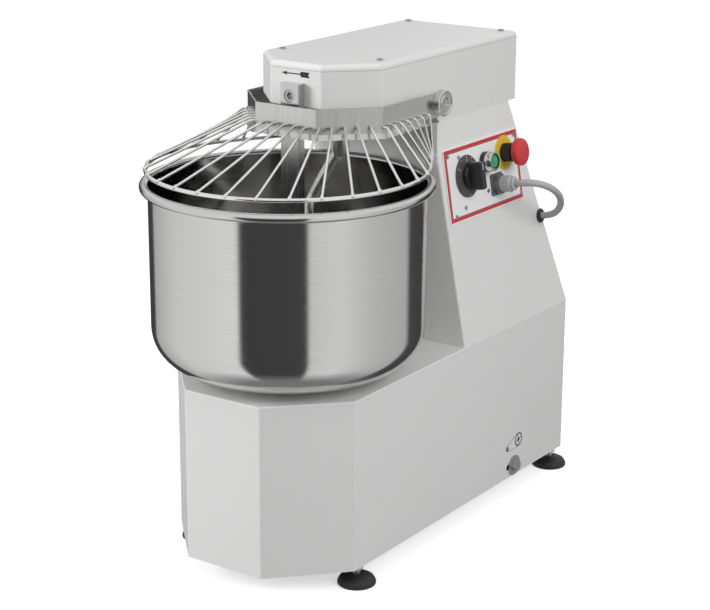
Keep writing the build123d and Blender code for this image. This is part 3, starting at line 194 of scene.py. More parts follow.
def skin(rings: Array, ends: Ends = Ends.CAPPED, tips: tuple[Array, Array] | None = None) -> Shell:
    """Closed surface over a grid of rings: quads between neighbours, a fan at each open end.

    Args:
        rings: points of shape (rings, points round, 3); round crossed with onward points out.
        ends: whether the ends are capped or meet each other.
        tips: middle points of the two caps; without them, the middles of the end rings.

    Returns:
        The surface, its faces pointing outwards.
    """
    count, around = rings.shape[:2]
    step = np.arange(around)
    ahead = np.roll(step, -1)
    band = np.arange(count if ends is Ends.JOINED else count - 1)
    low, high = (band * around)[:, None], ((band + 1) % count * around)[:, None]
    quads = np.stack([low + step, low + ahead, high + ahead, high + step], axis=-1)
    points, faces = rings.reshape(-1, 3), quads.reshape(-1, 4).tolist()
    if ends is Ends.CAPPED:
        first, last = tips if tips else (rings[0].mean(0), rings[-1].mean(0))
        middle, top = len(points), (count - 1) * around
        points = np.vstack([points, first, last])
        faces += np.stack([np.full(around, middle), ahead, step], axis=-1).tolist()
        faces += np.stack([np.full(around, middle + 1), top + step, top + ahead], -1).tolist()
    return Shell(points, faces)


def eased(points: Array, radius: float, steps: int = 5, closed: bool = False) -> Array:
    """Polyline with rounded corners.

    Each corner C becomes the curve (1-s)^2 A + 2 s (1-s) C + s^2 B, where A and B lie on its two
    runs, radius x tan(turn / 2) from it and never past 0.48 of either run.

    Args:
        points: corners of shape (n, 2) or (n, 3).
        radius: radius of the bends in metres.
        steps: points on each bend.
        closed: whether the last corner runs on to the first.

    Returns:
        Points along the rounded line.
    """
    points = np.asarray(points, float)
    here = points if closed else points[1:-1]
    run_in = (np.roll(points, 1, 0) if closed else points[:-2]) - here
    run_out = (np.roll(points, -1, 0) if closed else points[2:]) - here
    length_in = np.linalg.norm(run_in, axis=1, keepdims=True)
    length_out = np.linalg.norm(run_out, axis=1, keepdims=True)
    between = (run_in * run_out).sum(1, keepdims=True) / (length_in * length_out)
    turn = np.pi - np.arccos(np.clip(between, -1, 1))
    back = np.minimum(radius * np.tan(turn / 2), 0.48 * np.minimum(length_in, length_out))
    start, finish = here + run_in / length_in * back, here + run_out / length_out * back
    s = np.linspace(0, 1, steps)[:, None]
    bends = ((1 - s) ** 2 * start[:, None] + 2 * s * (1 - s) * here[:, None]
             + s ** 2 * finish[:, None]).reshape(-1, points.shape[1])
    return bends if closed else np.vstack([points[:1], bends, points[-1:]])


def arc(middle: tuple[float, float], radius: float, first: float, last: float, steps: int) -> Array:
    """Points on a circle: middle + radius (cos t, sin t), with t even between two angles.

    Args:
        middle: middle of the circle.
        radius: its radius.
        first: first angle in degrees.
        last: last angle in degrees.
        steps: number of points.

    Returns:
        Flat points of shape (steps, 2).
    """
    angle = np.radians(np.linspace(first, last, steps))
    return np.array(middle) + radius * np.stack([np.cos(angle), np.sin(angle)], axis=-1)


def turned(profile: Array, seat: Seat, around: int = 96, ribs: tuple[int, float] = (0, 0.0),
           rib_from: float = 0.0) -> Shell:
    """Surface of revolution: point = (r cos t, r sin t, h) for each (r, h) of the profile.

    An open profile starts and ends on the axis; one that starts off the axis is a closed ring.
    Ribs press the radius in by a depth x (1 - cos(n t)) / 2 wherever it is over rib_from.

    Args:
        profile: (radius, height) points, out along the bottom, up the outside, in over the top.
        seat: where the axis stands; its out direction is the axis.
        around: points round the axis.
        ribs: number of flutes and their depth in metres.
        rib_from: radius from which flutes are pressed in.

    Returns:
        The closed surface.
    """
    profile = np.asarray(profile, float)
    on_axis = profile[0, 0] < 1e-9
    body = profile[1:-1] if on_axis else profile
    angle = np.linspace(0, FULL_TURN, around, endpoint=False)
    count, depth = ribs
    flute = depth * (1 - np.cos(count * angle)) / 2
    radius = body[:, :1] - np.where(body[:, :1] > rib_from, flute, 0.0)
    rings = np.stack([radius * np.cos(angle), radius * np.sin(angle),
                      np.broadcast_to(body[:, 1:], radius.shape)], axis=-1)
    if not on_axis:
        return skin(seat.place(rings), Ends.JOINED)
    tips = tuple(seat.place(np.array([0.0, 0.0, h])) for h in (profile[0, 1], profile[-1, 1]))
    return skin(seat.place(rings), Ends.CAPPED, tips)


def unit(vectors: Array) -> Array:
    """Vectors brought to length one."""
    return vectors / np.linalg.norm(vectors, axis=-1, keepdims=True)


def rod(path: Array, radius: float, side: Array, around: int = 12) -> Shell:
    """Round rod with domed ends along a path.

    ring = path + r (cos t side + sin t (tangent x side)); past each end the rings go on along
    the tangent by r sin a while their radius shrinks to r cos a.

    Args:
        path: points of shape (n, 3) along the middle line.
        radius: radius of the rod.
        side: a direction that is never along the path, shape (3,) or (n, 3).
        around: points round the rod.

    Returns:
        The closed rod.
    """
    tangent = unit(np.gradient(path, axis=0))
    side = np.broadcast_to(side, path.shape)
    side = unit(side - (side * tangent).sum(1, keepdims=True) * tangent)
    dome = np.radians([70.0, 45.0, 20.0])
    lead_in = path[:1] - tangent[:1] * radius * np.sin(dome)[:, None]
    lead_out = path[-1:] + tangent[-1:] * radius * np.sin(dome[::-1])[:, None]
    line = np.vstack([lead_in, path, lead_out])
    side = np.vstack([side[:1].repeat(3, 0), side, side[-1:].repeat(3, 0)])
    ahead = np.vstack([tangent[:1].repeat(3, 0), tangent, tangent[-1:].repeat(3, 0)])
    size = radius * np.concatenate([np.cos(dome), np.ones(len(path)), np.cos(dome[::-1])])
    angle = np.linspace(0, FULL_TURN, around, endpoint=False)[:, None]
    rings = line[:, None] + size[:, None, None] * (
        np.cos(angle) * side[:, None] + np.sin(angle) * np.cross(ahead, side)[:, None])
    return skin(rings)


def moulded_block(half_x: float, half_y: float, corner: float, levels: Array, seat: Seat) -> Shell:
    """Block with rounded upright corners whose sides move in from level to level.

    At each level (shrink, height) the outline is a rounded rectangle: its corner circles of
    radius corner - shrink stay on the same middles, so the sides move in by the shrink.

    Args:
        half_x: half the length along the seat's local x.
        half_y: half the length along its local y.
        corner: radius of the upright corners.
        levels: (shrink, height) points from the bottom to the top.
        seat: where the block stands.

    Returns:
        The closed block.
    """
    levels = np.asarray(levels, float)
    quarter = np.linspace(0, np.pi / 2, 7)
    angle = np.concatenate([quarter + k * np.pi / 2 for k in range(4)])
    side_x = np.repeat([1, -1, -1, 1], len(quarter)) * (half_x - corner)
    side_y = np.repeat([1, 1, -1, -1], len(quarter)) * (half_y - corner)
    round_r = corner - levels[:, :1]
    rings = np.stack([side_x + round_r * np.cos(angle), side_y + round_r * np.sin(angle),
                      np.broadcast_to(levels[:, 1:], (len(levels), len(angle)))], axis=-1)
    return skin(seat.place(rings))


def flat_print(outline: Array, thickness: float, seat: Seat) -> Shell:
    """Thin printed shape: a flat outline raised by a film's thickness.

    Args:
        outline: corners of shape (n, 2), counter-clockwise.
        thickness: thickness of the film.
        seat: the face it lies on.

    Returns:
        The closed film.
    """
    count = len(outline)
    low = np.column_stack([outline, np.zeros(count)])
    high = np.column_stack([outline, np.full(count, thickness)])
    step = np.arange(count)
    ahead = np.roll(step, -1)
    sides = np.stack([step, ahead, ahead + count, step + count], axis=-1).tolist()
    faces = [step[::-1].tolist(), (step + count).tolist(), *sides]
    return Shell(seat.place(np.vstack([low, high])), faces)


def flat_ring(inner_r: float, outer_r: float, thickness: float, seat: Seat) -> Shell:
    """Thin printed ring on a seat."""
    return turned([(inner_r, 0), (outer_r, 0), (outer_r, thickness), (inner_r, thickness)],
                  seat, 48)


def bar_outline(start: Sequence[float], end: Sequence[float], width: float) -> Array:
    """Corners of a straight stroke: both ends moved sideways by half the width, either way.

    Args:
        start: first end, a flat point.
        end: last end.
        width: width of the stroke.

    Returns:
        Four corners, counter-clockwise.
    """
    a, b = np.asarray(start, float), np.asarray(end, float)
    along = (b - a) / np.linalg.norm(b - a)
    across = np.array([-along[1], along[0]]) * width / 2
    return np.array([a - across, b - across, b + across, a + across])


# ---------------------------------------------------------------- finishes

class NodeSheet:
    """Adds nodes to one tree and links them."""

    def __init__(self, tree: bpy.types.NodeTree) -> None:
        """Start with an empty tree."""
        self.tree = tree
        tree.nodes.clear()

    def add(self, kind: str, **settings: object) -> bpy.types.Node:
        """New node of a kind, with its settings.

        Args:
            kind: the node's type name.
            settings: attributes of the node.

        Returns:
            The node.
        """
        node = self.tree.nodes.new(kind)
        for name, value in settings.items():
            setattr(node, name, value)
        return node

    def feed(self, node: bpy.types.Node, **inputs: object) -> bpy.types.Node:
        """Give a node's inputs a value or a link.

        Args:
            node: the node to feed.
            inputs: an output socket or a constant for each input, under its name with underscores
                for spaces, or under an underscore and its number.

        Returns:
            The same node.
        """
        for name, value in inputs.items():
            socket = node.inputs[int(name[1:]) if name[1:].isdigit() else name.replace("_", " ")]
            if isinstance(value, bpy.types.NodeSocket):
                self.tree.links.new(value, socket)
            else:
                socket.default_value = value
        return node

    def math(self, operation: str, first: object, second: object = 0.0) -> bpy.types.NodeSocket:
        """Output of a sum, product, comparison or other two-number operation."""
        return self.feed(self.add("ShaderNodeMath", operation=operation), _0=first,
                         _1=second).outputs[0]


def new_group(name: str, inputs: dict[str, tuple[str, object]],
              outputs: dict[str, str]) -> tuple[NodeSheet, bpy.types.Node, bpy.types.Node]:
    """Empty shader group with named sockets.

    Args:
        name: name of the group.
        inputs: socket name to its type and default value.
        outputs: socket name to its type.

    Returns:
        Its node sheet, its input node and its output node.
    """
    tree = bpy.data.node_groups.new(name, "ShaderNodeTree")
    sheet = NodeSheet(tree)
    for label, (kind, default) in inputs.items():
        socket = tree.interface.new_socket(label, in_out="INPUT", socket_type=kind)
        if default is not None:
            socket.default_value = default
    for label, kind in outputs.items():
        tree.interface.new_socket(label, in_out="OUTPUT", socket_type=kind)
    return sheet, sheet.add("NodeGroupInput"), sheet.add("NodeGroupOutput")


FLOAT, VECTOR, COLOUR = "NodeSocketFloat", "NodeSocketVector", "NodeSocketColor"


def grain_group() -> bpy.types.NodeTree:
    """Directional grain: noise on coordinates stretched per axis, as a height and a mask.

    Returns:
        The shader group, built once.
    """
    if "surface_grain" in bpy.data.node_groups:
        return bpy.data.node_groups["surface_grain"]
    sheet, given, made = new_group(
        "surface_grain",
        {"Vector": (VECTOR, None), "Stretch": (VECTOR, (1.0, 1.0, 1.0)), "Scale": (FLOAT, 100.0)},
        {"Height": FLOAT, "Mask": FLOAT})
    spread = sheet.add("ShaderNodeVectorMath", operation="MULTIPLY")
    sheet.feed(spread, _0=given.outputs["Vector"], _1=given.outputs["Stretch"])
    noise = sheet.add("ShaderNodeTexNoise")
    sheet.feed(noise, Vector=spread.outputs[0], Scale=given.outputs["Scale"], Detail=3.0,
               Roughness=0.55)
    mask = sheet.feed(sheet.add("ShaderNodeMapRange"), Value=noise.outputs[0], From_Min=0.36,
                      From_Max=0.64)
    sheet.feed(made, Height=noise.outputs[0], Mask=mask.outputs[0])
    return sheet.tree


def drift_group() -> bpy.types.NodeTree:
    """Slow change of tone and gloss over a surface, as from handling and cleaning.

    The blend is a cloud noise x (1 - grain share) + grain x grain share.

    Returns:
        The shader group, built once.
    """
    if "tone_and_gloss_drift" in bpy.data.node_groups:
        return bpy.data.node_groups["tone_and_gloss_drift"]
    sheet, given, made = new_group(
        "tone_and_gloss_drift",
        {"Vector": (VECTOR, None), "Scale": (FLOAT, 6.0), "Base": (COLOUR, (1, 1, 1, 1)),
         "Drift": (COLOUR, (1, 1, 1, 1)), "Grain": (FLOAT, 0.5), "Grain Share": (FLOAT, 0.3),
         "Smooth": (FLOAT, 0.2), "Rough": (FLOAT, 0.4)},
        {"Colour": COLOUR, "Roughness": FLOAT})
    cloud = sheet.feed(sheet.add("ShaderNodeTexNoise"), Vector=given.outputs["Vector"],
                       Scale=given.outputs["Scale"], Detail=4.0, Roughness=0.6)
    patch = sheet.feed(sheet.add("ShaderNodeMapRange"), Value=cloud.outputs[0], From_Min=0.3,
                       From_Max=0.7)
    lines = sheet.math("MULTIPLY", given.outputs["Grain"], given.outputs["Grain Share"])
    kept = sheet.math("SUBTRACT", 1.0, given.outputs["Grain Share"])
    blend = sheet.math("ADD", sheet.math("MULTIPLY", patch.outputs[0], kept), lines)
    mix = sheet.add("ShaderNodeMix", data_type="RGBA")
    sheet.feed(mix, _0=blend, _6=given.outputs["Base"], _7=given.outputs["Drift"])
    gloss = sheet.feed(sheet.add("ShaderNodeMapRange"), Value=blend,
                       To_Min=given.outputs["Smooth"], To_Max=given.outputs["Rough"])
    sheet.feed(made, Colour=mix.outputs[2], Roughness=gloss.outputs[0])
    return sheet.tree


def border_group() -> bpy.types.NodeTree:
    """Printed border: one where a flat point lies between two distances from a panel's edge.

    The distance is the smaller of half length - |along| and half height - |up|.

    Returns:
        The shader group, built once.
    """
    if "printed_border" in bpy.data.node_groups:
        return bpy.data.node_groups["printed_border"]
    sheet, given, made = new_group(
        "printed_border",
        {"Along": (FLOAT, 0.0), "Up": (FLOAT, 0.0), "Half Length": (FLOAT, 0.1),
         "Half Height": (FLOAT, 0.05), "From Edge": (FLOAT, 0.002), "To Edge": (FLOAT, 0.007)},
        {"Mask": FLOAT})
    in_x = sheet.math("SUBTRACT", given.outputs["Half Length"],
                      sheet.math("ABSOLUTE", given.outputs["Along"]))
    in_y = sheet.math("SUBTRACT", given.outputs["Half Height"],
                      sheet.math("ABSOLUTE", given.outputs["Up"]))
    depth = sheet.math("MINIMUM", in_x, in_y)
    past = sheet.math("GREATER_THAN", depth, given.outputs["From Edge"])
    before = sheet.math("LESS_THAN", depth, given.outputs["To Edge"])
    sheet.feed(made, Mask=sheet.math("MULTIPLY", past, before))
    return sheet.tree


@dataclass(frozen=True)
class Finish:
    """How one kind of surface looks.

    Colours are linear. Grain is a noise of a scale per metre, stretched per axis; its depth is
    the bump it raises. Roughness runs between smooth and rough with the drift and the grain.
    """

    name: str
    colour: Colour
    drift: Colour
    smooth: float
    rough: float
    metallic: float = 0.0
    stretch: Point = (1.0, 1.0, 1.0)
    scale: float = 300.0
    depth: float = 0.02 * MM
    grain_share: float = 0.3
    coat: float = 0.0
    ior: float = 1.5

    def material(self) -> bpy.types.Material:
        """The finish as a material, made once.

        Returns:
            The material.
        """
        label = f"{self.name}_look"
        if label in bpy.data.materials:
            return bpy.data.materials[label]
        made = bpy.data.materials.new(label)
        made.use_nodes = True
        sheet = NodeSheet(made.node_tree)
        place = sheet.add("ShaderNodeTexCoord").outputs["Object"]
        grain = sheet.add("ShaderNodeGroup", node_tree=grain_group())
        sheet.feed(grain, Vector=place, Stretch=self.stretch, Scale=self.scale)
        drift = sheet.add("ShaderNodeGroup", node_tree=drift_group())
        sheet.feed(drift, Vector=place, Base=(*self.colour, 1.0), Drift=(*self.drift, 1.0),
                   Grain=grain.outputs["Mask"], Grain_Share=self.grain_share,
                   Smooth=self.smooth, Rough=self.rough)
        bump = sheet.feed(sheet.add("ShaderNodeBump"), Height=grain.outputs["Height"],
                          Strength=1.0, Distance=self.depth)
        shader = sheet.add("ShaderNodeBsdfPrincipled")
        sheet.feed(shader, Base_Color=self.paint(sheet, place, drift.outputs["Colour"]),
                   Roughness=drift.outputs["Roughness"], Metallic=self.metallic,
                   Normal=bump.outputs["Normal"], Coat_Weight=self.coat, Coat_Roughness=0.08,
                   IOR=self.ior)
        sheet.feed(sheet.add("ShaderNodeOutputMaterial"), Surface=shader.outputs[0])
        return made

    def paint(self, sheet: NodeSheet, place: bpy.types.NodeSocket,
              colour: bpy.types.NodeSocket) -> bpy.types.NodeSocket:
        """Colour of the surface; a printed finish draws on it."""
        return colour


@dataclass(frozen=True)
class PanelPrint(Finish):
    """White panel with a red border and a fine dark rule inside it.

    A surface point is read along two directions in the panel's plane from the panel's middle.
    """

    middle: Point = (0.0, 0.0, 0.0)
    up: Point = (0.0, 0.0, 1.0)
    half_length: float = 0.109
    half_height: float = 0.0567
    band_from: float = 2.0 * MM
    band_to: float = 7.0 * MM
    rule_to: float = 8.4 * MM
    band_colour: Colour = (0.62, 0.03, 0.035)
    rule_colour: Colour = (0.16, 0.16, 0.17)

    def paint(self, sheet: NodeSheet, place: bpy.types.NodeSocket,
              colour: bpy.types.NodeSocket) -> bpy.types.NodeSocket:
        """The panel's own colour under its two printed borders.

        Args:
            sheet: the material's node sheet.
            place: Object coordinates.
            colour: the panel's own colour.

        Returns:
            The colour with the borders drawn on it.
        """
        from_middle = sheet.feed(sheet.add("ShaderNodeVectorMath", operation="SUBTRACT"),
                                 _0=place, _1=self.middle).outputs[0]
        along, up = (sheet.feed(sheet.add("ShaderNodeVectorMath", operation="DOT_PRODUCT"),
                                _0=from_middle, _1=axis).outputs["Value"]
                     for axis in ((0.0, 1.0, 0.0), self.up))
        for first, last, ink in ((self.band_from, self.band_to, self.band_colour),
                                 (self.band_to, self.rule_to, self.rule_colour)):
            border = sheet.add("ShaderNodeGroup", node_tree=border_group())
            sheet.feed(border, Along=along, Up=up, Half_Length=self.half_length,
                       Half_Height=self.half_height, From_Edge=first, To_Edge=last)
            mix = sheet.add("ShaderNodeMix", data_type="RGBA")
            sheet.feed(mix, _0=border.outputs["Mask"], _6=colour, _7=(*ink, 1.0))
            colour = mix.outputs[2]
        return colour


def grey(value: float) -> Colour:
    """Neutral linear colour."""
    return (value, value, value)


def finishes(layout: Layout) -> dict[str, Finish]:
    """Every finish of the mixer.

    Args:
        layout: the driving places of the mixer; the panel leans with the column's side.

    Returns:
        The finishes, by the record's slot names.
    """
    lean = layout.side_lean
    panel_low, panel_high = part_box("panel_plate")
    panel_middle = tuple((a + b) / 2 for a, b in zip(panel_low, panel_high))
    upright, round_about = (900.0, 900.0, 14.0), (8.0, 8.0, 900.0)
    sheet_metal = dict(metallic=1.0, scale=1.0, depth=0.004 * MM)
    return {
        "white_enamel": Finish(
            "stove_enamel", (0.80, 0.80, 0.795), (0.785, 0.785, 0.78), 0.30, 0.36, scale=500.0,
            depth=0.012 * MM, grain_share=0.1, coat=0.1),
        "bowl_steel": Finish(
            "polished_bowl_steel", (0.68, 0.675, 0.67), (0.63, 0.627, 0.623), 0.07, 0.15,
            stretch=round_about, grain_share=0.6, **sheet_metal),
        "satin_steel": Finish(
            "brushed_sheet_steel", (0.68, 0.675, 0.67), (0.60, 0.596, 0.59), 0.20, 0.30,
            stretch=upright, grain_share=0.5, **sheet_metal),
        "bright_wire": Finish(
            "polished_wire", (0.86, 0.855, 0.85), (0.80, 0.797, 0.79), 0.08, 0.16,
            metallic=1.0, scale=500.0, depth=0.01 * MM),
        "zinc_steel": Finish(
            "zinc_plated_steel", (0.55, 0.55, 0.56), (0.40, 0.40, 0.42), 0.25, 0.42,
            metallic=1.0, scale=900.0, depth=0.01 * MM),
        "machined_steel": Finish(
            "machined_steel", grey(0.50), (0.36, 0.36, 0.37), 0.22, 0.40, metallic=1.0,
            stretch=round_about, scale=1.0, depth=0.01 * MM, grain_share=0.6),
        "cast_iron": Finish(
            "painted_casting", (0.13, 0.14, 0.15), (0.09, 0.095, 0.10), 0.45, 0.65, scale=450.0,
            depth=0.15 * MM),
        "motor_aluminium": Finish(
            "die_cast_aluminium", (0.46, 0.47, 0.48), (0.36, 0.37, 0.38), 0.35, 0.55,
            metallic=1.0, scale=600.0, depth=0.06 * MM),
        "black_rubber": Finish(
            "black_rubber", grey(0.014), grey(0.026), 0.42, 0.65, scale=900.0, depth=0.03 * MM),
        "panel_print": PanelPrint(
            "panel_print", grey(0.90), grey(0.88), 0.28, 0.38, scale=900.0, depth=0.005 * MM,
            middle=panel_middle, up=(-math.sin(lean), 0.0, math.cos(lean))),
        "dial_black": Finish(
            "dial_plastic", grey(0.055), grey(0.075), 0.38, 0.5, scale=1200.0),
        "black_plastic": Finish(
            "black_plastic", grey(0.012), grey(0.02), 0.28, 0.42, scale=1200.0,
            depth=0.015 * MM),
        "bezel_metal": Finish(
            "bezel_metal", (0.74, 0.75, 0.75), (0.66, 0.67, 0.67), 0.10, 0.2, metallic=1.0,
            scale=800.0, depth=0.005 * MM),
        "green_plastic": Finish(
            "green_lens", (0.005, 0.30, 0.10), (0.01, 0.38, 0.14), 0.15, 0.25, scale=500.0,
            depth=0.005 * MM, coat=0.5),
        "red_plastic": Finish(
            "red_plastic", (0.66, 0.045, 0.05), (0.60, 0.035, 0.04), 0.38, 0.5, scale=900.0,
            depth=0.012 * MM),
        "yellow_plastic": Finish(
            "yellow_label", (0.80, 0.55, 0.02), (0.74, 0.50, 0.02), 0.4, 0.5, scale=900.0,
            depth=0.01 * MM),
        "socket_grey": Finish(
            "socket_grey", grey(0.10), grey(0.13), 0.4, 0.55, scale=1000.0),
        "lead_grey": Finish(
            "lead_grey", grey(0.50), grey(0.45), 0.38, 0.52, scale=700.0),
    }


INK = Finish("black_ink", grey(0.012), grey(0.03), 0.4, 0.5, scale=1500.0, depth=0.002 * MM)
PALE_INK = Finish("white_ink", grey(0.75), grey(0.65), 0.4, 0.5, scale=1500.0, depth=0.002 * MM)


# ---------------------------------------------------------------- workshop

@dataclass
class Workshop:
    """Turns shells into finished pieces on their bodies and keeps count of them."""

    layout: Layout
    paints: dict[str, Finish]
    count: int = 0

    def piece(self, name: str, shell: Shell, body: str, slot: str, replaces: Sequence[str] = (),
              finish: Finish | None = None, crease: float = 32.0) -> bpy.types.Object:
        """Make a mesh piece, dress it and let it ride on a body.

        Args:
            name: name of the piece.
            shell: its surface.
            body: the body it rides on.
            slot: the record's material slot.
            replaces: frame nodes it stands for.
            finish: a finish other than the slot's.
            crease: angle in degrees past which an edge stays sharp.

        Returns:
            The new object.
        """
        mesh = bpy.data.meshes.new(name)
        mesh.from_pydata(shell.points.tolist(), [], shell.faces)
        mesh.polygons.foreach_set("use_smooth", np.ones(len(mesh.polygons), bool))
        mesh.set_sharp_from_angle(angle=math.radians(crease))
        mesh.materials.append((finish or self.paints[slot]).material())
        made = bpy.data.objects.new(name, mesh)
        bpy.context.scene.collection.objects.link(made)
        even = made.modifiers.new("even_shading", "WEIGHTED_NORMAL")
        even.keep_sharp = True
        self.settle(made, body, slot, replaces)
        log.info("%s: %d faces on %s", name, len(mesh.polygons), body)
        return made

    def settle(self, made: bpy.types.Object, body: str, slot: str, replaces: Sequence[str]) -> None:
        """Let an object ride on a body, hide the nodes it stands for and count it.

        Args:
            made: the object.
            body: the body it rides on.
            slot: the record's material slot; not used.
            replaces: frame nodes it stands for.
        """
        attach(made, body)
        if replaces:
            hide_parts(*replaces)
        self.count += 1

    def dress_nodes(self) -> None:
        """Give every node of the frame its slot's finish."""
        slots = {part["node"]: part["material_slot"] for part in frame["record"]["subparts"]}
        for name, node in frame["nodes"].items():
            node.data.materials.clear()
            node.data.materials.append(self.paints[slots[name]].material())
        log.info("dressed %d frame nodes", len(slots))


# ---------------------------------------------------------------- bowl

@dataclass
class Bowl:
    """Spun bowl with a rolled rim."""

    shop: Workshop
    body_r: float = 200.0 * MM
    wall: float = 1.5 * MM
    corner_r: float = 60.0 * MM
    bead_r: float = 6.75 * MM

    def profile(self) -> Array:
        """Outer floor, corner and wall, round the bead, then down the inside to the axis.

        Returns:
            (radius, height) points of the bowl's section.
        """
        at = self.shop.layout
        low, inner = at.bowl_bottom, self.body_r - self.wall
        bead = (at.rim_r - self.bead_r, at.rim_z - self.bead_r)
        meets = math.degrees(math.asin((bead[0] - self.body_r) / self.bead_r))
        outer_corner = (self.body_r - self.corner_r, low + self.corner_r)
        rise = np.linspace(low + self.corner_r, bead[1] - self.bead_r, 14)[1:-1]
        fall = np.linspace(bead[1], low + self.corner_r, 14)[1:-1]
        spread = np.linspace(0, self.body_r - self.corner_r, 12)
        return np.vstack([
            np.column_stack([spread, np.full(12, low)]),
            arc(outer_corner, self.corner_r, -90, 0, 14)[1:],
            np.column_stack([np.full(12, self.body_r), rise]),
            arc(bead, self.bead_r, -180 + 90 - meets, 180, 22),
            np.column_stack([np.full(12, inner), fall]),
            arc(outer_corner, self.corner_r - self.wall, 0, -90, 14),
            np.column_stack([spread[::-1][1:], np.full(11, low + self.wall)]),
        ])

    def build(self) -> None:
        """The bowl's shell."""
        axis = Seat((0.0, self.shop.layout.bowl_y, 0.0))
        self.shop.piece("bowl_shell", turned(self.profile(), axis, 256), "bowl", "bowl_steel",
                        ["bowl"])


# ---------------------------------------------------------------- spiral

@dataclass
class Spiral:
    """Upright shaft and the hook that winds down the bowl from its lower end."""

    shop: Workshop
    bowl: Bowl
    shaft_r: float = 12.5 * MM
    hook_r: float = 9.0 * MM
    wall_gap: float = 7.0 * MM
    floor_gap: float = 5.0 * MM
    shaft_gap: float = 1.25 * MM
    turns: float = 0.95
    first_angle: float = 209.0
    weld: float = 21.0 * MM
    swing_share: float = 0.34
    wind_from: float = 0.28

    def hook_path(self) -> Array:
        """Middle line of the hook.

        It swings out over the first third, radius = widest (1 - (1 - swing)^1.15), then winds
        down, its angle growing as the share to the power 1.25; in the bowl's corner the radius
        follows the rounded floor. A short running mean takes the kinks out.

        Returns:
            Points of shape (n, 3) from the weld on the shaft down to the floor.
        """
        at, bowl = self.shop.layout, self.bowl
        share = np.linspace(0, 1, 220)
        inner_floor = at.bowl_bottom + bowl.wall
        top = at.rim_z + self.shaft_gap + self.weld
        z = top + (inner_floor + self.floor_gap + self.hook_r - top) * share
        widest = bowl.body_r - bowl.wall - self.wall_gap - at.spiral_reach - self.hook_r
        swing = np.minimum(1.0, share / self.swing_share)
        radius = widest * (1 - (1 - swing) ** 1.15)
        corner_z = inner_floor + bowl.corner_r - bowl.wall
        reach_in = bowl.corner_r - bowl.wall - self.hook_r - self.floor_gap
        drop = np.clip(corner_z - z, 0, reach_in)
        edge = (bowl.body_r - bowl.corner_r + np.sqrt(reach_in ** 2 - drop ** 2)
                - at.spiral_reach)
        radius = np.where(z < corner_z, np.minimum(radius, edge), radius)
        late = np.maximum(0.0, share - self.wind_from) / (1 - self.wind_from)
        wound = 0.03 * share + 0.97 * late ** 1.25
        angle = math.radians(self.first_angle) + FULL_TURN * self.turns * wound
        path = np.column_stack([radius * np.cos(angle),
                                at.at(at.spiral_reach) + radius * np.sin(angle), z])
        window = 13
        padded = np.pad(path, ((window // 2, window // 2), (0, 0)), mode="edge")
        return np.apply_along_axis(np.convolve, 0, padded, np.full(window, 1 / window), "valid")

    def build(self) -> None:
        """Shaft with a rounded lower end, and the hook."""
        at = self.shop.layout
        axis = Seat((0.0, at.at(at.spiral_reach), 0.0))
        (_, _, low), (_, _, high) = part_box("spiral_shaft")
        dome = arc((0.0, low + self.shaft_r), self.shaft_r, -90, 0, 12)
        shaft = np.vstack([dome, [(self.shaft_r, high), (0, high)]])
        self.shop.piece("spiral_shaft_rod", turned(shaft, axis, 64), "spiral", "satin_steel",
                        ["spiral_shaft"])
        path = self.hook_path()
        side = np.cross(np.array([0.0, 0.0, 1.0]), np.gradient(path, axis=0))
        self.shop.piece("spiral_hook_rod", rod(path, self.hook_r, side, 28), "spiral",
                        "satin_steel", ["spiral_hook"])


# ---------------------------------------------------------------- guard

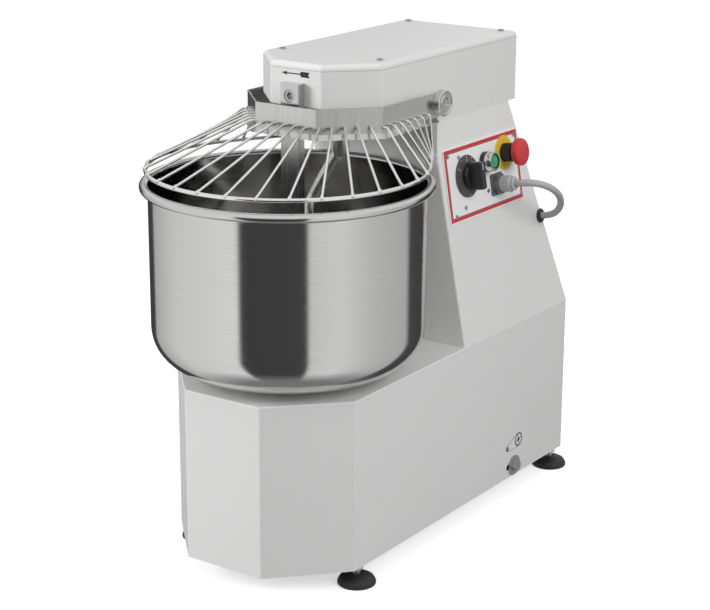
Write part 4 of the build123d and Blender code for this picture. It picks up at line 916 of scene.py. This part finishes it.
@dataclass
class Guard:
    """Wire guard: a collar with holes, wires bent out of them, a ring, and two hinge knobs."""

    shop: Workshop
    front_half: float = 53.0 * MM
    front_reach: float = -5.0 * MM
    half: float = 120.0 * MM
    chamfer_reach: float = 63.0 * MM
    wire_z: float = 656.5 * MM
    wire_r: float = 2.0 * MM
    wire_pitch: float = 18.66 * MM
    wires_each_side: int = 14
    close_wires: int = 3
    close_pitch: float = 15.0 * MM
    stub: float = 7.0 * MM
    spread: float = 12.4
    ring_r: float = 202.0 * MM
    rod_r: float = 3.0 * MM
    ring_z: float = 595.0 * MM
    straight_from: float = 120.0
    end_x: float = 116.75 * MM
    pivot_reach: float = 213.0 * MM
    pivot_z: float = 668.0 * MM
    knob_profile: tuple[tuple[float, float], ...] = (
        (0, 85.5), (8, 85.5), (8, 106.2), (12, 106.2), (12, 118), (8, 118), (8, 120.1),
        (19.5, 120.1), (19.5, 130), (18.3, 131), (16.6, 131), (15.8, 129.4), (12.2, 129.4),
        (11.4, 130.8), (8.8, 130.8), (7.8, 127.6), (4.6, 127.6), (4.0, 125.0), (0, 125.0))
    rim_profile: tuple[tuple[float, float], ...] = ((2.1, -0.2), (3.3, -0.2), (2.9, 0.5),
                                                    (2.1, 0.6))
    wire_bend: float = 9.0 * MM
    wire_inside: float = 5.0 * MM
    bead_r: float = 2.7 * MM
    bead_half: float = 2.4 * MM

    @property
    def ring_half_length(self) -> float:
        """Length of the ring from its front to one end strap."""
        turn = math.radians(self.straight_from)
        return self.ring_r * turn + (self.ring_r * math.sin(turn) - self.end_x) / -math.cos(turn)

    def ring_points(self, along: Array) -> Array:
        """Points on the ring: round up to the tangent angle, straight from there to the strap.

        Args:
            along: distances from the ring's front, below zero to the left.

        Returns:
            Points of shape (n, 3).
        """
        turn_end = math.radians(self.straight_from)
        turn = np.minimum(np.abs(along) / self.ring_r, turn_end)
        beyond = np.maximum(0.0, np.abs(along) - self.ring_r * turn_end)
        x = self.ring_r * np.sin(turn) + beyond * math.cos(turn_end)
        reach = -self.ring_r * np.cos(turn) + beyond * math.sin(turn_end)
        return np.column_stack([np.sign(along) * x, self.shop.layout.bowl_y + reach,
                                np.full(len(along), self.ring_z)])

    def collar_points(self, along: Array) -> tuple[Array, Array]:
        """Points on the collar's outer face at the wires' height: front, slant, then side.

        Args:
            along: distances round the collar from its front's middle, below zero to the left.

        Returns:
            The points and the face's normals there, both of shape (n, 3).
        """
        run, rise = self.half - self.front_half, self.chamfer_reach - self.front_reach
        slant = math.hypot(run, rise)
        left, side = np.abs(along), np.where(along < 0, -1.0, 1.0)
        share = np.clip((left - self.front_half) / slant, 0, 1)
        past = np.maximum(0.0, left - self.front_half - slant)
        x = np.minimum(left, self.front_half) + share * run
        reach = self.front_reach + share * rise + past
        on_front, on_side = left <= self.front_half, past > 0
        nx = np.where(on_front, 0.0, np.where(on_side, 1.0, rise / slant))
        ny = np.where(on_front, -1.0, np.where(on_side, 0.0, -run / slant))
        points = np.column_stack([side * x, self.shop.layout.bowl_y + reach,
                                  np.full(len(along), self.wire_z)])
        return points, np.column_stack([side * nx, ny, np.zeros(len(along))])

    def wire_ends(self) -> tuple[Array, Array, Array]:
        """Both ends of every wire; towards the straps the feet keep a closer pitch.

        Returns:
            Hole on the collar, the collar's normal there, and foot on the ring, of every wire.
        """
        index = np.arange(-self.wires_each_side, self.wires_each_side + 1)
        roots, normals = self.collar_points(index * self.wire_pitch)
        even = self.ring_r * math.radians(self.spread) * np.abs(index)
        closing = self.ring_half_length - self.close_pitch * (self.wires_each_side + 1
                                                              - np.abs(index))
        open_wires = np.abs(index) <= self.wires_each_side - self.close_wires
        along = np.where(open_wires, np.minimum(even, closing), closing)
        return roots, normals, self.ring_points(np.sign(index) * along)

    def knob(self, side: int) -> Shell:
        """Hinge pin with its bush and the grooved knob on its outer end.

        Args:
            side: 1 for the right-hand knob, -1 for the left-hand one.

        Returns:
            The turned piece.
        """
        seat = Seat((0.0, self.shop.layout.at(self.pivot_reach), self.pivot_z), (0.0, 1.0, 0.0),
                    (float(side), 0.0, 0.0))
        return turned(eased(MM * np.array(self.knob_profile), 0.7 * MM), seat, 72)

    def build(self) -> None:
        """Ring, wires, weld beads, hole rims and hinge knobs.

        A wire starts inside the collar, leaves its hole square to the face and bends down to the
        ring, where a bead of weld lies along it.
        """
        ring = self.ring_points(np.linspace(-1, 1, 241) * self.ring_half_length)
        self.shop.piece("guard_ring_rod", rod(ring, self.rod_r, np.array([0.0, 0.0, 1.0]), 16),
                        "guard", "bright_wire", ["guard_ring"])
        roots, normals, feet = self.wire_ends()
        lift = np.array([0.0, 0.0, self.rod_r * 0.9])
        wires, rims, beads = [], [], []
        for root, normal, foot in zip(roots, normals, feet):
            route = [root - normal * self.wire_inside, root + normal * self.stub, foot + lift]
            side = np.cross(normal, route[2] - route[1])
            wires.append(rod(eased(route, self.wire_bend, 12), self.wire_r, side, 12))
            seat = Seat(tuple(root), (0.0, 0.0, 1.0), tuple(normal))
            rims.append(turned(MM * np.array(self.rim_profile), seat, 16))
            inward = unit(route[1] - route[2])
            bead = foot + lift + inward * np.array([[-self.bead_half], [self.bead_half]])
            beads.append(rod(bead, self.bead_r, side, 10))
        self.shop.piece("guard_wire_set", join(wires), "guard", "bright_wire", ["guard_wires"])
        self.shop.piece("guard_hole_rims", join(rims), "guard", "satin_steel")
        self.shop.piece("guard_weld_beads", join(beads), "guard", "bright_wire")
        self.shop.piece("guard_hinge_knobs", join([self.knob(-1), self.knob(1)]), "guard",
                        "satin_steel", ["guard_pivots"])


# ---------------------------------------------------------------- feet

@dataclass
class Feet:
    """Four domed rubber feet on levelling studs."""

    shop: Workshop
    sole_r: float = 28.5 * MM
    height: float = 16.0 * MM
    stud_r: float = 6.1 * MM
    spots: tuple[tuple[float, float], ...] = field(init=False)

    def __post_init__(self) -> None:
        """Stand the feet under the corners of their own box."""
        low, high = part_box("rubber_feet")
        self.spots = tuple((x, y) for x in (low[0] + self.sole_r, high[0] - self.sole_r)
                           for y in (low[1] + self.sole_r, high[1] - self.sole_r))

    def build(self) -> None:
        """Each foot is turned: a flat sole, a lip, and a dome with a groove up to its stud."""
        r, h = self.sole_r, self.height
        profile = np.array([
            (0, 0), (r - 1.4 * MM, 0), (r, 1.3 * MM), (r, 4.6 * MM), (0.955 * r, 5.4 * MM),
            (0.97 * r, 6.6 * MM), (0.87 * r, 0.68 * h), (0.68 * r, 0.86 * h),
            (0.47 * r, 0.97 * h), (0.36 * r, h), (self.stud_r, h), (self.stud_r, 10.2 * MM),
            (0, 10.2 * MM)])
        feet = [turned(eased(profile, 1.6 * MM, 4), Seat((x, y, 0.0)), 72) for x, y in self.spots]
        self.shop.piece("foot_pucks", join(feet), "frame", "black_rubber", ["rubber_feet"])


# ---------------------------------------------------------------- control panel

@dataclass
class ControlPanel:
    """Switches, plug and marks on the printed panel; heights are above the casing's slope."""

    shop: Workshop
    plate: float = 2.0 * MM
    dial_r: float = 32.3 * MM
    selector: tuple[float, float] = (291.0 * MM, 543.0 * MM)
    start: tuple[float, float] = (346.0 * MM, 555.0 * MM)
    estop: tuple[float, float] = (405.0 * MM, 559.0 * MM)
    socket: tuple[float, float] = (372.0 * MM, 516.0 * MM)
    grommet: tuple[float, float] = (497.0 * MM, 441.4 * MM)
    lead_r: float = 5.5 * MM
    film: float = 0.15 * MM

    def seat(self, spot: tuple[float, float]) -> Seat:
        """Seat on the slope at a reach and a height."""
        return slope_seat(self.shop.layout, *spot)

    def ring(self, spot: tuple[float, float], profile: Sequence[tuple[float, float]],
             ease: float = 0.5, around: int = 72, **ribs: object) -> Shell:
        """Turned piece at a spot on the slope, its corners eased.

        Args:
            spot: reach and height of its axis.
            profile: (radius, height) points in millimetres.
            ease: radius of the eased corners in millimetres.
            around: points round the axis.
            ribs: number and depth of flutes, as for turned.

        Returns:
            The closed surface.
        """
        points = MM * np.asarray(profile, float)
        whole = points[0, 0] > 0
        return turned(eased(points, ease * MM, 4, closed=whole), self.seat(spot), around, **ribs)

    def build(self) -> None:
        """All the pieces of the panel."""
        self.build_selector()
        self.build_start_button()
        self.build_estop()
        self.build_socket()

    def build_selector(self) -> None:
        """Dial disc with its marks, and the bar knob with its pointer."""
        shop, spot = self.shop, self.selector
        seat, low = self.seat(spot), self.plate
        dial = self.ring(spot, [(5.1, 2), (32.3, 2), (32.3, 4.2), (31.2, 5), (5.1, 5)], 0.6, 96)
        shop.piece("selector_dial_disc", dial, "frame", "dial_black", ["selector_dial"])
        face = Seat(tuple(seat.place(np.array([0.0, 0.0, low + 3.0 * MM]))), seat.across, seat.out)
        ticks = []
        for degrees in (-60, -30, 0, 30, 60, 180):
            way = np.array([math.sin(math.radians(degrees)), math.cos(math.radians(degrees))])
            inner = 27.6 * MM if degrees % 60 == 0 else 28.8 * MM
            ticks.append(flat_print(bar_outline(way * inner, way * 30.6 * MM, 1.1 * MM),
                                    self.film, face))
        shop.piece("selector_dial_ticks", join(ticks), "frame", "panel_print", finish=PALE_INK)
        self.build_numerals(face)
        skirt = self.ring(spot, [(0, 5.4), (17, 5.4), (17, 9.4), (15.4, 12.4), (0, 12.4)], 0.8)
        stem = self.ring(spot, [(0, -20), (5, -20), (5, 5.6), (0, 5.6)], 0.3, 32)
        grip_levels = MM * eased([(0.2, 10.5), (0.4, 30.6), (1.9, 32.4), (3.4, 32.4)], 1.2)
        grip = moulded_block(7.5 * MM, 21.5 * MM, 3.6 * MM, grip_levels, seat)
        shop.piece("selector_grip", join([skirt, stem, grip]), "selector", "black_plastic",
                   ["selector_knob"])
        top = Seat(tuple(seat.place(np.array([0.0, 0.0, 32.4 * MM]))), seat.across, seat.out)
        pointer = flat_print(bar_outline((0, 8.5 * MM), (0, 19.0 * MM), 1.7 * MM), self.film, top)
        end = Seat(tuple(seat.place(np.array([0.0, 21.2 * MM, 0.0]))), seat.across,
                   tuple(np.cross(np.array(seat.out), np.array(seat.across))))
        drop = flat_print(bar_outline((0, -29.5 * MM), (0, -12.5 * MM), 1.7 * MM), self.film, end)
        shop.piece("selector_pointer", join([pointer, drop]), "selector", "panel_print",
                   finish=PALE_INK)

    def build_numerals(self, face: Seat) -> None:
        """Numbers 1, 0 and 2 on the dial, made from text and turned into thin meshes.

        Args:
            face: seat on the dial's face.
        """
        for label, degrees in (("1", -60), ("0", 0), ("2", 60)):
            curve = bpy.data.curves.new(f"numeral_{label}", "FONT")
            curve.body, curve.size = label, 6.2 * MM
            curve.align_x, curve.align_y = "CENTER", "CENTER"
            curve.extrude = self.film / 2
            text = bpy.data.objects.new(f"numeral_{label}_text", curve)
            bpy.context.scene.collection.objects.link(text)
            bpy.context.view_layer.update()
            drawn = text.evaluated_get(bpy.context.evaluated_depsgraph_get())
            mesh = bpy.data.meshes.new_from_object(drawn)
            local = np.zeros(len(mesh.vertices) * 3)
            mesh.vertices.foreach_get("co", local)
            way = 24.2 * MM * np.array([math.sin(math.radians(degrees)),
                                        math.cos(math.radians(degrees)), 0.0])
            faces = [list(p.vertices) for p in mesh.polygons]
            shell = Shell(face.place(local.reshape(-1, 3) + way), faces)
            bpy.data.objects.remove(text)
            bpy.data.curves.remove(curve)
            self.shop.piece(f"selector_numeral_{label}", shell, "frame", "panel_print",
                            finish=PALE_INK)

    def build_start_button(self) -> None:
        """Black base, bright bezel, green ring, dark shroud and the green cap that is pushed."""
        shop, spot = self.shop, self.start
        base = self.ring(spot, [(10.3, -14), (10.9, -14), (10.9, 2), (15.6, 2), (15.6, 9.2),
                                (14.9, 10), (10.3, 10)])
        shop.piece("start_base_ring", base, "frame", "black_plastic", ["start_button_base"])
        bezel = self.ring(spot, [(11.5, 10), (15, 10), (15, 12.8), (14.3, 13.2), (14.3, 14.2),
                                 (15, 14.6), (15, 20.4), (14.2, 22), (13.6, 22), (13.2, 21.2),
                                 (11.5, 21.2)], 0.6)
        shop.piece("start_bezel", bezel, "frame", "bezel_metal", ["start_button_bezel"])
        glow = self.ring(spot, [(11.5, 21.0), (13.4, 21.0), (13.3, 21.9), (11.6, 21.9)], 0.3)
        shop.piece("start_green_ring", glow, "frame", "green_plastic")
        shroud = self.ring(spot, [(10.3, 10), (11.5, 10), (11.5, 21.6), (11.2, 22), (10.3, 21.6)],
                           0.3)
        shop.piece("start_shroud", shroud, "frame", "black_plastic")
        cap = self.ring(spot, [(0, -26), (4, -26), (4, 14), (10, 14), (10, 19.6), (9.2, 20.7),
                               (6.6, 20.9), (0, 20.3)], 0.8)
        shop.piece("start_cap", cap, "start_button", "green_plastic", ["start_button_cap"])

    def build_estop(self) -> None:
        """Yellow label ring, fluted collar and the mushroom head."""
        shop, spot = self.shop, self.estop
        label = self.ring(spot, [(11.3, 2), (27, 2), (27, 2.8), (26.6, 3), (11.3, 3)], 0.2, 96)
        shop.piece("estop_ring", label, "frame", "yellow_plastic", ["estop_label_ring"])
        collar = self.ring(spot, [(8.1, -14), (10.9, -14), (10.9, 3), (14.5, 3), (14.5, 18.6),
                                  (13.4, 20), (8.1, 20)], 0.6, 192, ribs=(32, 0.9 * MM),
                           rib_from=13.2 * MM)
        shop.piece("estop_fluted_collar", collar, "frame", "black_plastic", ["estop_collar"])
        dome_r = np.linspace(20.6, 0, 12)
        dome = np.column_stack([dome_r, 40.5 - 4.6 * (dome_r / 20.6) ** 3.2])
        under = [(0, 35.6), (5.1, 35.6), (5.1, 25.5), (15.5, 25.5), (19.6, 26.4), (21.2, 28.8),
                 (21.5, 31.5), (21.4, 34.0)]
        head = turned(MM * np.vstack([under, dome]), self.seat(spot), 96)
        shop.piece("estop_mushroom", head, "estop_button", "red_plastic", ["estop_head"])

    def build_socket(self) -> None:
        """Dark socket with its flange, the fluted plug, and the rubber grommet of the lead."""
        shop, spot = self.shop, self.socket
        seat = self.seat(spot)
        flange_levels = MM * eased([(1.0, 2.0), (0.0, 2.0), (0.0, 4.4), (0.8, 5.0), (3.0, 5.0)],
                                   0.4)
        flange = moulded_block(17 * MM, 17 * MM, 4 * MM, flange_levels, seat)
        barrel = self.ring(spot, [(0, -14), (10.9, -14), (10.9, 2.2), (15.5, 4.8), (15.5, 12.8),
                                  (14.6, 14), (0, 14)], 0.8, 72)
        shop.piece("socket_body", join([flange, barrel]), "frame", "socket_grey", ["lead_socket"])
        body = self.ring(spot, [(0, 14), (13, 14), (13, 26), (12.2, 30.4), (10.5, 32),
                                (10.5, 36.2), (9.6, 37), (5.6, 37), (5.5, 30), (0, 30)], 0.7, 160,
                         ribs=(20, 0.7 * MM), rib_from=12.6 * MM)
        shop.piece("plug_body", body, "frame", "lead_grey", ["lead_plug"])
        grommet = self.ring(self.grommet, [(5.55, -5), (8.8, -5), (8.8, 0), (11.5, 0),
                                           (11.5, 1.9), (9.2, 4), (5.55, 4)], 0.9)
        shop.piece("lead_grommet_ring", grommet, "frame", "black_rubber", ["lead_grommet"])


# ---------------------------------------------------------------- lead

@dataclass
class ControlLead:
    """Short grey lead that loops from the plug on the panel back into the column's slope."""

    shop: Workshop
    panel: ControlPanel
    length: float = 0.2189
    plug_mouth: float = 29.0 * MM
    straight: float = 18.5 * MM
    sheet: float = 2.0 * MM
    last_straight: float = 19.0 * MM
    loop: tuple[Point, ...] = ((0.1870, 0.3790, 0.5250), (0.1980, 0.3925, 0.5210),
                               (0.2030, 0.4130, 0.5115), (0.2020, 0.4360, 0.4980),
                               (0.1950, 0.4580, 0.4825), (0.1840, 0.4765, 0.4670),
                               (0.1695, 0.4900, 0.4530))

    def build(self) -> None:
        """One open spline through the lead's route."""
        layout = self.shop.layout
        start, end = self.panel.seat(self.panel.socket), self.panel.seat(self.panel.grommet)
        mouth = np.array(start.origin) + np.array(start.out) * self.plug_mouth
        inside = np.array(end.origin) - np.array(end.out) * self.sheet
        loop = [(x, layout.at(reach), z) for x, reach, z in self.loop]
        route = np.array([mouth, mouth + np.array(start.out) * self.straight, *loop,
                          inside + np.array(end.out) * self.last_straight, inside])
        curve = bpy.data.curves.new("control_lead_cord", "CURVE")
        curve.dimensions, curve.bevel_depth, curve.bevel_resolution = "3D", self.panel.lead_r, 6
        curve.resolution_u, curve.use_fill_caps = 16, True
        spline = curve.splines.new("NURBS")
        spline.points.add(len(route) - 1)
        spline.points.foreach_set("co", np.column_stack([route, np.ones(len(route))]).ravel())
        spline.order_u = 3
        spline.use_endpoint_u = True
        curve.materials.append(self.shop.paints["lead_grey"].material())
        lead = bpy.data.objects.new("control_lead_cord", curve)
        bpy.context.scene.collection.objects.link(lead)
        self.shop.settle(lead, "frame", "lead_grey", ["control_lead"])
        log.info("control_lead_cord: %d route points", len(route))


# ---------------------------------------------------------------- prints

@dataclass
class Prints:
    """Turning arrow on the head's front and the belt sign above the adjuster."""

    shop: Workshop
    film: float = 0.12 * MM
    arrow_z: float = 726.0 * MM
    big_pulley: tuple[float, float] = (405.5 * MM, 89.7 * MM)
    small_pulley: tuple[float, float] = (370.0 * MM, 83.0 * MM)
    big_r: float = 11.5 * MM
    small_r: float = 4.0 * MM

    def build(self) -> None:
        """Both prints."""
        layout = self.shop.layout
        front = Seat((0.0, layout.at(layout.head_front_reach), self.arrow_z), (1.0, 0.0, 0.0),
                     (0.0, -1.0, 0.0))
        half = MM * np.array([(-24.5, 0), (-14.5, -3.0), (-15.3, -0.85), (8.0, -0.85), (9.8, -3.9),
                              (25.0, -3.9), (22.2, 0)])
        arrow = np.vstack([half, (half * (1, -1))[-2:0:-1]])
        self.shop.piece("turning_arrow", flat_print(arrow, self.film, front), "frame",
                        "white_enamel", finish=INK)
        side = Seat((layout.base_half, layout.at(self.big_pulley[0]), self.big_pulley[1]),
                    (0.0, 1.0, 0.0), (1.0, 0.0, 0.0))
        small = np.subtract(self.small_pulley, self.big_pulley)
        small_seat = Seat(tuple(side.place(np.array([*small, 0.0]))), side.across, side.out)
        away = math.atan2(small[1], small[0])
        splay = math.acos((self.big_r - self.small_r) / math.hypot(*small))
        strokes = []
        for turn in (away - splay, away + splay):
            way = np.array([math.cos(turn), math.sin(turn)])
            strokes.append(flat_print(bar_outline(way * (self.big_r + 0.6 * MM),
                                                  small + way * (self.small_r + 0.6 * MM),
                                                  0.55 * MM), self.film, side))
        for turn in (20, 110):
            way = 8.2 * MM * np.array([math.cos(math.radians(turn)), math.sin(math.radians(turn))])
            strokes.append(flat_print(bar_outline(-way, way, 1.5 * MM), 1.1 * self.film, side))
        strokes += [flat_ring(self.big_r - 2.2 * MM, self.big_r, self.film, side),
                    flat_ring(1.2 * MM, 3.2 * MM, 1.3 * self.film, side),
                    flat_ring(1.0 * MM, self.small_r, self.film, small_seat)]
        self.shop.piece("belt_sign", join(strokes), "frame", "white_enamel", finish=INK)


# ---------------------------------------------------------------- studio

@dataclass(frozen=True)
class SoftBox:
    """Square area light that points at the mixer's middle."""

    name: str
    place: Point
    size: float
    watts: float


@dataclass
class Studio:
    """Pale floor, soft lights, the surroundings that steel reflects, and the camera.

    Screens are (azimuth in degrees, brightness) stops of the ring that steel reflects. It is seen
    around the horizon: above the ceiling's sines it gives way to the ceiling, and below the
    ground's to the ground.
    """

    camera_at: Point = (1.5884, -2.30875, 1.1978)
    look_at: Point = (0.0, -0.00705, 0.3472)
    roll: float = 0.22
    lens: float = 96.69
    sensor: float = 36.0
    floor_size: float = 60.0
    paper: float = 0.85
    paper_glow: float = 0.56
    floor_bounce: float = 0.22
    lit_middle: Point = (0.0, 0.0, 0.4)
    boxes: tuple[SoftBox, ...] = (SoftBox("key_box", (-2.45, -2.75, 1.75), 1.8, 100.0),
                                  SoftBox("fill_box", (3.2, -0.6, 2.3), 1.8, 60.0))
    ambient: float = 0.52
    ceiling: float = 0.85
    ceiling_sines: tuple[float, float] = (0.02, 0.35)
    ground: float = 0.25
    ground_sines: tuple[float, float] = (-0.75, -0.95)
    screens: tuple[tuple[float, float], ...] = (
        (-180, 0.06), (-166, 0.08), (-163, 0.75), (-150, 0.75), (-146, 0.05), (-110, 0.06),
        (-106, 0.50), (-70, 0.80), (-6, 0.95), (-2.5, 0.06), (51, 0.07), (54, 0.78), (80, 0.86),
        (112, 0.66), (150, 0.55), (156, 0.08), (180, 0.06))

    def build(self) -> None:
        """Everything that isn't the mixer."""
        self.build_floor()
        self.build_lights()
        self.build_world()
        self.build_camera()

    def build_camera(self) -> None:
        """Camera turned to its target, then rolled about its own axis."""
        data = bpy.data.cameras.new("studio_camera")
        data.lens, data.sensor_width = self.lens, self.sensor
        camera = bpy.data.objects.new("studio_camera", data)
        bpy.context.scene.collection.objects.link(camera)
        way = Vector(self.look_at) - Vector(self.camera_at)
        turned_to = way.to_track_quat("-Z", "Y").to_matrix().to_4x4()
        camera.matrix_world = (Matrix.Translation(self.camera_at) @ turned_to
                               @ Matrix.Rotation(math.radians(self.roll), 4, "Z"))
        bpy.context.scene.camera = camera

    def build_floor(self) -> None:
        """Large pale floor with a soft shadow; it throws little light back and isn't mirrored."""
        half = self.floor_size / 2
        mesh = bpy.data.meshes.new("studio_floor")
        mesh.from_pydata([(-half, -half, 0), (half, -half, 0), (half, half, 0), (-half, half, 0)],
                         [], [[0, 1, 2, 3]])
        material = bpy.data.materials.new("studio_paper")
        material.use_nodes = True
        sheet = NodeSheet(material.node_tree)
        paper = sheet.feed(sheet.add("ShaderNodeBsdfPrincipled"),
                           Base_Color=(*grey(self.paper), 1.0), Roughness=0.9,
                           Emission_Color=(*grey(1.0), 1.0), Emission_Strength=self.paper_glow)
        bounce = sheet.feed(sheet.add("ShaderNodeBsdfDiffuse"),
                            Color=(*grey(self.floor_bounce), 1.0))
        path = sheet.add("ShaderNodeLightPath")
        shader = sheet.feed(sheet.add("ShaderNodeMixShader"), Fac=path.outputs["Is Camera Ray"],
                            _1=bounce.outputs[0], _2=paper.outputs[0])
        sheet.feed(sheet.add("ShaderNodeOutputMaterial"), Surface=shader.outputs[0])
        mesh.materials.append(material)
        floor = bpy.data.objects.new("studio_floor", mesh)
        floor.visible_glossy = False
        bpy.context.scene.collection.objects.link(floor)

    def build_lights(self) -> None:
        """Soft boxes: a key from the front left and a fill from the right."""
        for box in self.boxes:
            data = bpy.data.lights.new(box.name, "AREA")
            data.shape, data.size, data.energy = "SQUARE", box.size, box.watts
            light = bpy.data.objects.new(box.name, data)
            aim = Vector(self.lit_middle) - Vector(box.place)
            light.matrix_world = (Matrix.Translation(box.place)
                                  @ aim.to_track_quat("-Z", "Y").to_matrix().to_4x4())
            light.visible_glossy = False
            bpy.context.scene.collection.objects.link(light)

    def build_world(self) -> None:
        """Even white light, and for reflections a ring of bright and dark screens.

        The screens are a ramp over the azimuth of the reflected ray, from the rear round by the
        left and the front to the right; they give way to the ceiling and the ground.
        """
        world = bpy.data.worlds.new("studio_world")
        world.use_nodes = True
        sheet = NodeSheet(world.node_tree)
        way = sheet.feed(sheet.add("ShaderNodeSeparateXYZ"),
                         Vector=sheet.add("ShaderNodeTexCoord").outputs["Generated"])
        x, y, z = way.outputs
        azimuth = sheet.math("ARCTAN2", x, sheet.math("MULTIPLY", y, -1.0))
        turn = sheet.math("ADD", sheet.math("DIVIDE", azimuth, FULL_TURN), 0.5)
        ramp = sheet.add("ShaderNodeValToRGB")
        ramp.color_ramp.interpolation = "LINEAR"
        while len(ramp.color_ramp.elements) < len(self.screens):
            ramp.color_ramp.elements.new(0.5)
        for stop, (degrees, level) in zip(ramp.color_ramp.elements, self.screens):
            stop.position = degrees / 360 + 0.5
            stop.color = (*grey(level), 1.0)
        sheet.feed(ramp, Fac=turn)
        around = ramp.outputs["Color"]
        for (start, end), level in ((self.ceiling_sines, self.ceiling),
                                    (self.ground_sines, self.ground)):
            share = sheet.feed(sheet.add("ShaderNodeMapRange"), Value=z, From_Min=start,
                               From_Max=end)
            mix = sheet.add("ShaderNodeMix", data_type="RGBA")
            sheet.feed(mix, _0=share.outputs[0], _6=around, _7=(*grey(level), 1.0))
            around = mix.outputs[2]
        path = sheet.add("ShaderNodeLightPath")
        ambient, mirror, paper = (
            sheet.feed(sheet.add("ShaderNodeBackground"), Color=colour, Strength=strength)
            for colour, strength in (((*grey(1.0), 1.0), self.ambient), (around, 1.0),
                                     ((*grey(1.0), 1.0), 1.0)))
        seen = sheet.feed(sheet.add("ShaderNodeMixShader"), Fac=path.outputs["Is Glossy Ray"],
                          _1=ambient.outputs[0], _2=mirror.outputs[0])
        last = sheet.feed(sheet.add("ShaderNodeMixShader"), Fac=path.outputs["Is Camera Ray"],
                          _1=seen.outputs[0], _2=paper.outputs[0])
        sheet.feed(sheet.add("ShaderNodeOutputWorld"), Surface=last.outputs[0])
        bpy.context.scene.world = world
        bpy.context.scene.view_settings.view_transform = "Standard"


# ---------------------------------------------------------------- whole model

def main() -> None:
    """Dress the frame, build every sub-assembly, set the studio and log the number of new pieces.
    """
    logging.basicConfig(level=logging.INFO, format="%(name)s: %(message)s")
    layout = read_layout()
    shop = Workshop(layout, finishes(layout))
    shop.dress_nodes()
    bowl, panel = Bowl(shop), ControlPanel(shop)
    for assembly in (bowl, Spiral(shop, bowl), Guard(shop), Feet(shop), panel,
                     ControlLead(shop, panel), Prints(shop), Studio()):
        assembly.build()
        log.info("%s done", type(assembly).__name__)
    log.info("%d new pieces", shop.count)


if __name__ == "__main__":
    main()
